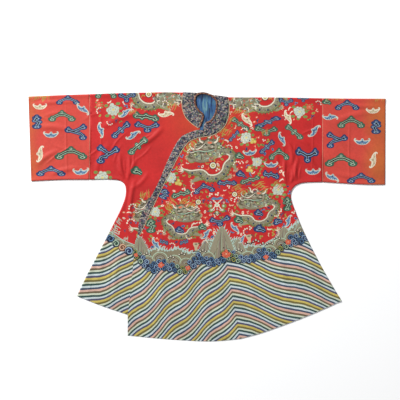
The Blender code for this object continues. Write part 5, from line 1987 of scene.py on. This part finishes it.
def collar_strip(name, inner, outer, top, wraps, material):
    """A band lying on a front between two lines; it may start by turning over the shoulder fold."""
    count = round(length_of(outer) / COLLAR_STEP)
    inner = resample(inner, count)
    outer = resample(outer, count)
    shares = np.linspace(0.0, 1.0, COLLAR_SPANS + 1)
    lift = LAYER_GAP + COLLAR_WALL
    rows = []
    if wraps:
        side = (outer[0] - inner[0]) / math.hypot(*(outer[0] - inner[0]))
        up = np.array((-side[1], side[0]))
        up = up if up[1] > 0 else -up
        edge = inner[0] + (outer[0] - inner[0]) * shares[:, None]
        crest = top(edge - up * RIM_RADIUS)
        around = RIM_RADIUS + lift
        rows.append(np.column_stack([edge + up * lift, np.full(len(edge), TURN_LEVEL)]))
        for angle in TURN_ANGLES:
            level = crest - RIM_RADIUS + around * math.cos(angle)
            rows.append(np.column_stack([edge + up * (around * math.sin(angle) - RIM_RADIUS), level]))
        back = up * RIM_RADIUS * smoothstep(1 - np.arange(count) / TURN_EASE)[:, None]
        inner = inner - back
        outer = outer - back
    across = inner[:, None, :] + (outer - inner)[:, None, :] * shares[:, None]
    heights = top(across.reshape(-1, 2)).reshape(across.shape[:2] + (1,)) + lift
    rows += list(np.concatenate([across, heights], axis=2))
    item = grid_mesh(name + "_cloth", np.array(rows), [material])
    facing_up(item)
    thicken(item, COLLAR_WALL * STRIP_SHARE)
    length = (length_of(inner) + length_of(outer)) / 2 + (TURN_LENGTH if wraps else 0.0)
    widths = np.hypot(*(outer - inner).T)
    dress(item, name, length * float(widths.mean()),
          (float(widths.max()), length))


CORD_STEP = 1.4
CORD_SIDES = 10
CORD_TWIST = 0.62
CORD_WAIST = 0.86
CORD_BULGE = 0.14


def piping(name, path, top, material):
    """A cream cord of two twisted strands beside a collar."""
    path = resample(path, round(length_of(path) / CORD_STEP))
    side = leftwards(path)
    level = top(path) + LAYER_GAP + PIPING_HEIGHT / 2
    turns = np.linspace(0.0, 2 * math.pi, CORD_SIDES, endpoint=False)
    twist = np.arange(len(path)) * CORD_TWIST
    grid = np.empty((len(path), len(turns), 3))
    for j, turn in enumerate(turns):
        bulge = CORD_WAIST + CORD_BULGE * np.cos(2 * (turn - twist))
        grid[:, j, :2] = path + side * (PIPING_WIDTH / 2 * bulge * math.cos(turn))[:, None]
        grid[:, j, 2] = level + PIPING_HEIGHT / 2 * bulge * math.sin(turn)
    item = grid_mesh(name + "_cord", grid, [material], closed=True)
    fill_ends(item, len(path), len(turns))
    stand_for(item, name)
    return item


def fill_ends(item, rows, columns):
    """Closes both ends of a tube made as a grid."""
    mesh = item.data
    faces = [tuple(face.vertices) for face in mesh.polygons]
    faces.append(tuple(range(columns)))
    faces.append(tuple(reversed(range((rows - 1) * columns, rows * columns))))
    places = [vertex.co[:] for vertex in mesh.vertices]
    materials = list(mesh.materials)
    mesh.clear_geometry()
    mesh.from_pydata(places, [], faces)
    for material in materials:
        if material.name not in mesh.materials:
            mesh.materials.append(material)
    mesh.shade_smooth()
    mesh.update()


# How far the binding's edge is from its middle line, as a share of its width
BINDING_REACH = 0.6


def over_collar(top, path):
    """The highest underside of the binding along a path, just over the collar on the cloth top."""
    reach = BINDING_WIDTH * BINDING_REACH
    around = [(0, 0), (reach, 0), (-reach, 0), (0, reach), (0, -reach)]
    highest = np.max([top(path + step) for step in around], axis=0)
    return highest + LAYER_GAP + COLLAR_WALL + SEAM_GAP


# Materials

# Scale and detail of the mottling and of the grain
MOTTLE = (9.0, 3.0)
GRAIN = (130.0, 2.0)
# How much each changes the colour, and the least that it leaves
MOTTLE_SHADE = (0.5, 0.74)
GRAIN_SHADE = (0.34, 0.83)
THREAD_FORM = {"Distortion": 1.2, "Detail": 1.5, "Detail Scale": 0.6}
THREAD_RELIEF = {"Strength": 0.35, "Distance": 0.0004}
SILK_FINISH = {"Roughness": 0.62, "Specular IOR Level": 0.3, "Sheen Weight": 0.08, "Sheen Roughness": 0.4}


class Silk:
    """A silk material, with the nodes that all the silks share."""

    def __init__(self, name):
        self.material = bpy.data.materials.new(name)
        self.material.use_nodes = True
        self.nodes = self.material.node_tree.nodes
        self.link = self.material.node_tree.links.new
        self.shader = self.nodes["Principled BSDF"]
        self.coordinates = self.nodes.new("ShaderNodeTexCoord").outputs["Object"]

    def add(self, kind, inputs, **settings):
        """A new node; each of its inputs is given a value, or the output that feeds it."""
        node = self.nodes.new("ShaderNode" + kind)
        for name, value in settings.items():
            setattr(node, name, value)
        for name, value in inputs.items():
            if isinstance(value, bpy.types.NodeSocket):
                self.link(value, node.inputs[name])
            else:
                node.inputs[name].default_value = value
        return node

    def math(self, operation, *values):
        return self.add("Math", dict(enumerate(values)), operation=operation).outputs[0]

    def noise(self, scale, detail, coordinates=None):
        place = coordinates or self.coordinates
        return self.add("TexNoise", {"Scale": scale, "Detail": detail, "Vector": place}).outputs["Fac"]

    def attribute(self, name):
        return self.add("Attribute", {}, attribute_name=name)

    def ramp(self, value, stops, mode="LINEAR"):
        """A colour ramp; stops are rows of position and linear colour."""
        node = self.nodes.new("ShaderNodeValToRGB")
        node.color_ramp.interpolation = mode
        elements = node.color_ramp.elements
        while len(elements) < len(stops):
            elements.new(0.5)
        for element, (position, colour) in zip(elements, stops):
            element.position = position
            element.color = (*colour, 1.0)
        self.link(value, node.inputs["Fac"])
        return node.outputs["Color"]

    def threads(self, scale, turn):
        """Fine parallel threads from 0 to 1, with a little wander."""
        turned = self.add("Mapping", {"Rotation": (0.0, 0.0, math.radians(turn)),
                                      "Vector": self.coordinates})
        form = {"Scale": scale, **THREAD_FORM, "Vector": turned.outputs[0]}
        return self.add("TexWave", form).outputs["Fac"]

    def finish(self, colour, weave, depth, **more):
        """Mottling, thread shade, relief and sheen; more are further values of the shader."""
        mottle = self.noise(*MOTTLE)
        fine = self.noise(*GRAIN)
        shade = self.math("MULTIPLY_ADD", mottle, *MOTTLE_SHADE)
        grain = self.math("MULTIPLY_ADD", fine, *GRAIN_SHADE)
        lit = self.math("MULTIPLY_ADD", weave, depth, 1.0 - depth / 2)
        shade = self.math("MULTIPLY", shade, grain)
        shade = self.math("MULTIPLY", shade, lit)
        shaded = self.add("VectorMath", {0: colour, "Scale": shade}, operation="SCALE")
        self.link(shaded.outputs[0], self.shader.inputs["Base Color"])
        relief = self.add("Bump", {**THREAD_RELIEF, "Height": weave})
        self.link(relief.outputs[0], self.shader.inputs["Normal"])
        for name, value in {**SILK_FINISH, **more}.items():
            self.shader.inputs[name].default_value = value
        return self.material


def silk_stops(rows):
    """Stops of a colour ramp from rows of position and silk colour."""
    return [(position, linear(colour)) for position, colour in rows]


def woven_silk(name):
    """Silk whose motifs and ground take their colours from the cloth's ink."""
    silk = Silk(name)
    ink = silk.attribute("ink")
    return silk.finish(ink.outputs["Color"], silk.threads(75.0, 90.0), 0.10)


STRIPE_WANDER = 0.05


def striped_silk(name):
    """The stripes that stand for deep water."""
    silk = Silk(name)
    phase = silk.attribute("phase")
    wander = silk.noise(26.0, 1.0)
    nudged = silk.math("MULTIPLY_ADD", wander, STRIPE_WANDER, phase.outputs["Fac"])
    share = silk.math("FRACT", nudged)
    stops = []
    reach = 0.0
    for stripe, height in STRIPES:
        stops.append((reach / STRIPE_PERIOD, linear(STRIPE_INKS[stripe])))
        reach += height
    colour = silk.ramp(share, stops, "CONSTANT")
    return silk.finish(colour, silk.threads(62.0, 62.0), 0.22)


def plain_silk(name, colour, depth):
    """Silk of one colour, whose threads shade it by depth."""
    silk = Silk(name)
    base = silk.nodes.new("ShaderNodeRGB")
    base.outputs[0].default_value = (*linear(colour), 1.0)
    return silk.finish(base.outputs[0], silk.threads(80.0, 0.0), depth, Roughness=0.5)


# Blues of the lining's streaks: the darkest is painted fold shade, the palest a painted highlight, and those
# between are the silk's own tones
LINING_TONES_AND_FOLD_SHADE = [
    (0.36, (28, 52, 84)), (0.47, (54, 96, 148)), (0.56, (66, 112, 140)), (0.66, (104, 146, 158)),
]
LINING_STRETCH = (1.0, 0.22, 1.0)
# Painted shade where the lining goes under the collar and binding at the back of the neck: y in metres, and
# a linear colour that multiplies it
LINING_PAINTED_SHADE = [(0.525, (1.0, 1.0, 1.0)), (0.548, (0.2, 0.2, 0.25))]


def lining_silk(name):
    """Soft blue silk in streaks that are partly painted fold shade and highlights and partly its own tones,
    with painted shade where it goes under the collar.
    """
    silk = Silk(name)
    # Streaks along the lining, partly painted fold shade and highlights, partly the silk's own tones
    stretch = silk.add("Mapping", {"Scale": LINING_STRETCH, "Vector": silk.coordinates})
    bands = silk.noise(90.0, 2.0, stretch.outputs[0])
    colour = silk.ramp(bands, silk_stops(LINING_TONES_AND_FOLD_SHADE))
    # Painted shade: the lining darkens towards the back of the neck, under the collar and binding
    place = silk.add("SeparateXYZ", {0: silk.coordinates})
    depth = silk.ramp(place.outputs["Y"], LINING_PAINTED_SHADE)
    deep = silk.add("Mix", {0: 1.0, 6: colour, 7: depth}, data_type="RGBA", blend_type="MULTIPLY")
    return silk.finish(deep.outputs[2], silk.threads(80.0, 0.0), 0.12)


BROCADE_SCALE = 165.0
BROCADE_GROUND = (48, 48, 66)
BROCADE_EDGE = 0.56
BROCADE_FLOWERS = [
    (0.0, (46, 48, 66)), (0.12, (128, 126, 132)), (0.32, (170, 158, 142)), (0.52, (130, 94, 94)),
    (0.64, (98, 114, 92)), (0.78, (84, 84, 100)), (0.90, (36, 38, 50)),
]


def brocade(name):
    """Navy silk with a close pattern of small flowers and leaves."""
    silk = Silk(name)
    cells = silk.add("TexVoronoi", {"Scale": BROCADE_SCALE, "Vector": silk.coordinates},
                     voronoi_dimensions="2D")
    pick = silk.add("SeparateColor", {0: cells.outputs["Color"]})
    flowers = silk.ramp(pick.outputs[0], silk_stops(BROCADE_FLOWERS), "CONSTANT")
    edge = silk.math("LESS_THAN", cells.outputs["Distance"], BROCADE_EDGE)
    ground = (*linear(BROCADE_GROUND), 1.0)
    mix = silk.add("Mix", {0: edge, 6: ground, 7: flowers}, data_type="RGBA")
    return silk.finish(mix.outputs[2], silk.threads(80.0, 45.0), 0.18)


BINDING_TONES = [
    (0.36, (44, 38, 48)), (0.46, (104, 58, 48)), (0.56, (142, 88, 66)), (0.68, (180, 146, 108)),
]


def gold_binding(name):
    """Dark silk worked in red and gold."""
    silk = Silk(name)
    colour = silk.ramp(silk.noise(230.0, 1.0), silk_stops(BINDING_TONES))
    return silk.finish(colour, silk.threads(90.0, 0.0), 0.2, Metallic=0.15, Roughness=0.42)


# The robe

FACING_BLUE = (70, 110, 156)
FACING_THREADS = 0.10
CORD_CREAM = (220, 208, 170)
CORD_THREADS = 0.3


def build_robe():
    """Every piece of the robe, from the back up to the binding."""
    woven = woven_silk("robe_silk_woven")
    striped = striped_silk("robe_silk_striped")
    facing = plain_silk("robe_lining_silk", FACING_BLUE, FACING_THREADS)
    sleeve_woven = woven_silk("sleeve_silk_woven")
    collar = brocade("collar_brocade_silk")
    cord = plain_silk("piping_cord_silk", CORD_CREAM, CORD_THREADS)
    silks = [woven, striped, facing]

    chance = np.random.default_rng(SEED)
    right, left, back = right_design(chance), left_design(chance), back_design(chance)
    back_rim = [line("hem_back_right"), line("hem_back_left")]
    right_rims = [line("shoulder_right"), line("side_right")] + back_rim
    left_rims = [line("shoulder_left"), line("side_left"), line("under_front")] + back_rim
    overlap_rims = [line("under_front"), line("hem_right")] + back_rim
    folds_right = FOLDS_RIGHT + CREASES_RIGHT
    folds_left = FOLDS_LEFT + CREASES_LEFT

    back_panel("back_right", BACK_RIGHT, back, silks)
    back_panel("back_left", BACK_LEFT, back, silks)
    panel("front_right", FRONT_RIGHT, top_right, right, folds_right, right_rims, phase_under, silks)
    panel("front_left", FRONT_LEFT, top_left, left, folds_left, left_rims, phase_front, silks)
    panel("front_overlap", FRONT_OVERLAP, top_left, left, folds_left, overlap_rims, phase_front, silks)

    half = np.array((SEAM_GAP / 2, 0.0))
    sleeve_silks = [sleeve_woven, striped, facing]
    fold, under = line("cuff_fold_right"), line("sleeve_under_right")
    fold[-1] -= half
    under[-1] -= half
    sleeve("sleeve_right", fold, under, top_right, right, back, folds_right, sleeve_silks)
    fold, under = line("cuff_fold_left"), line("sleeve_under_left")
    fold[0] += half
    under[0] += half
    sleeve("sleeve_left", fold, under, top_left, left, back, folds_left, sleeve_silks)
    build_collar(collar, cord)
    build_collar_back(collar)
    build_lining()
    build_binding()


FINE_STEP = 4.0
CORD_CLEAR = 1.6 * SEAM_GAP
# How far below the shoulder fold a collar's cord starts
CORD_DROP = 6.0


def build_collar(collar, cord):
    """The collar's sides and the opening's band, each with its cord."""
    reach = PIPING_WIDTH / 2 + CORD_CLEAR
    for side, top, away in (("left", top_left, reach), ("right", top_right, -reach)):
        outer = line("collar_" + side, FINE_STEP)
        path = offset_line(outer, away)
        path = path[path[:, 1] < first("collar_" + side)[1] - CORD_DROP]
        trim = piping("piping_" + side, path, top, cord)
        collar_strip("collar_" + side, line("neck_" + side, FINE_STEP), outer, top, True, collar)

    gap = np.array((SEAM_GAP, 0.0))
    inner, outer = line("opening", FINE_STEP), line("band_lower", FINE_STEP)
    path = offset_line(outer, reach)
    for stretch in (path, inner, outer):
        stretch[0] -= gap
    trim = piping("piping_band", path, top_left, cord)
    collar_strip("opening_band", inner, outer, top_left, False, collar)


def build_collar_back(collar):
    """The back of the collar, woven side down on the surface."""
    down = np.array((0.0, BACK_INSET))
    low = first("neck_right") + (2 * SEAM_GAP, 0.0)
    high = first("neck_left") - (2 * SEAM_GAP, 0.0)
    rim = line("back_neck")
    rim = rim[(rim[:, 0] > low[0]) & (rim[:, 0] < high[0])]
    rim = np.concatenate([[low], rim, [high]]) - (0.0, SEAM_GAP)
    left_end = first("collar_left")[0] - SEAM_GAP
    left = line("shoulder_left", back=True)
    left = left[(left[:, 0] > high[0]) & (left[:, 0] < left_end)]
    right_end = first("collar_right")[0] + SEAM_GAP
    right = line("shoulder_right", back=True)
    right = right[(right[:, 0] > right_end) & (right[:, 0] < low[0])]
    edge = line("collar_back")[1:-1]
    loop = np.concatenate([edge, left - down, rim[::-1], right - down])
    lay_piece("collar_back", lower_side(loop, []), loop, phase_back, [collar])


LINING_LATTICE = 3.0
LINING_SHARE = 0.9


def build_lining():
    """The lining that shows inside the neck."""
    silk = lining_silk("neck_lining_silk")
    loop = smooth(LINES["lining"] + LINES["lining"][:1], FINE_STEP)[:-1][::-1]
    flat, faces, owner = cut_sheet(loop, [], lattice(loop, LINING_LATTICE, LINING_FOLDS, [loop]))
    sheet = (np.column_stack([flat, top_lining(flat)]), faces, owner, [])
    item = make_cloth("lining", sheet, ground_body, phase_back, [silk])
    thicken(item, LINING_WALL * LINING_SHARE)
    dress(item, "lining", area_of(loop), spread_of(loop))


BINDING_STEP = 3.0
BINDING_SIDES = 9
BINDING_FOOT = 0.25
# Power that flattens the binding's crown, and the size and the closeness of its puckers
BINDING_CROWN = 0.7
PUCKER = 0.05
PUCKER_CLOSENESS = 1.9


def build_binding():
    """The binding round the inner edge of the collar."""
    path = resample(line("binding", BINDING_STEP), BINDING_STATIONS)
    right_level = over_collar(top_right, path)
    left_level = over_collar(top_left, path)
    share = (np.arange(len(path)) - BINDING_BACK_START) / (BINDING_BACK_END - BINDING_BACK_START)
    start, end = right_level[BINDING_BACK_START], left_level[BINDING_BACK_END]
    crossing = start + (end - start) * smoothstep(share)
    crossing -= BINDING_DIP * np.sin(math.pi * np.clip(share, 0.0, 1.0)) ** 2
    level = np.where(share < 0, right_level, np.where(share > 1, left_level, crossing))
    side = leftwards(path)
    turns = np.linspace(0.0, math.pi, BINDING_SIDES)
    pucker = 1.0 + PUCKER * np.sin(np.arange(len(path)) * PUCKER_CLOSENESS)
    grid = np.empty((len(path), len(turns) + 1, 3))
    for j, turn in enumerate(turns):
        rise = (BINDING_HEIGHT - BINDING_FOOT) * math.sin(turn) ** BINDING_CROWN * pucker
        grid[:, j, :2] = path + side * (BINDING_WIDTH / 2 * math.cos(turn))
        grid[:, j, 2] = level + BINDING_FOOT + rise
    grid[:, -1, :2] = path
    grid[:, -1, 2] = level
    item = grid_mesh("neck_binding_cloth", grid, [gold_binding("neck_binding_silk")], closed=True)
    fill_ends(item, len(path), len(turns) + 1)
    stand_for(item, "neck_binding")


FLOOR_HALF = 9000.0
FLOOR_LEVEL = -0.4
FLOOR_GREY = (0.93, 0.93, 0.93, 1.0)
FLOOR_ROUGHNESS = 0.9
LAMPS = [
    # name, place in metres, width in metres, power in watts
    ("key", (-4.2, 4.6, 4.2), 2.0, 860.0),
    ("fill", (3.0, -1.5, 4.5), 3.0, 56.0),
]
SKY = (0.95, 0.97, 1.0, 1.0)
SKY_STRENGTH = 0.26
CAMERA_PLACE = (-0.0315, 0.0754, 5.0)
CAMERA_LENS = 100.0
CAMERA_SENSOR = 36.0


def set_stage():
    """A plain pale floor, soft light and the camera straight above."""
    rows = [[(x, y, FLOOR_LEVEL) for x in (-FLOOR_HALF, FLOOR_HALF)] for y in (-FLOOR_HALF, FLOOR_HALF)]
    card = bpy.data.materials.new("floor_card")
    card.use_nodes = True
    shader = card.node_tree.nodes["Principled BSDF"]
    shader.inputs["Base Color"].default_value = FLOOR_GREY
    shader.inputs["Roughness"].default_value = FLOOR_ROUGHNESS
    floor = grid_mesh("floor", np.array(rows), [card])
    facing_up(floor)

    for name, place, width, power in LAMPS:
        lamp = bpy.data.lights.new(name, "AREA")
        lamp.size = width
        lamp.energy = power
        item = in_scene(name, lamp)
        item.location = place
        away = np.array(place)
        item.rotation_euler = (math.acos(away[2] / np.linalg.norm(away)), 0.0,
                               math.atan2(away[1], away[0]) + math.pi / 2)
    world = bpy.data.worlds.new("studio")
    world.use_nodes = True
    background = world.node_tree.nodes["Background"]
    background.inputs[0].default_value = SKY
    background.inputs[1].default_value = SKY_STRENGTH
    bpy.context.scene.world = world
    bpy.context.scene.view_settings.view_transform = "Standard"

    lens = bpy.data.cameras.new("camera")
    lens.lens = CAMERA_LENS
    lens.sensor_width = CAMERA_SENSOR
    camera = in_scene("camera", lens)
    camera.location = CAMERA_PLACE
    bpy.context.scene.camera = camera


build_robe()
set_stage()
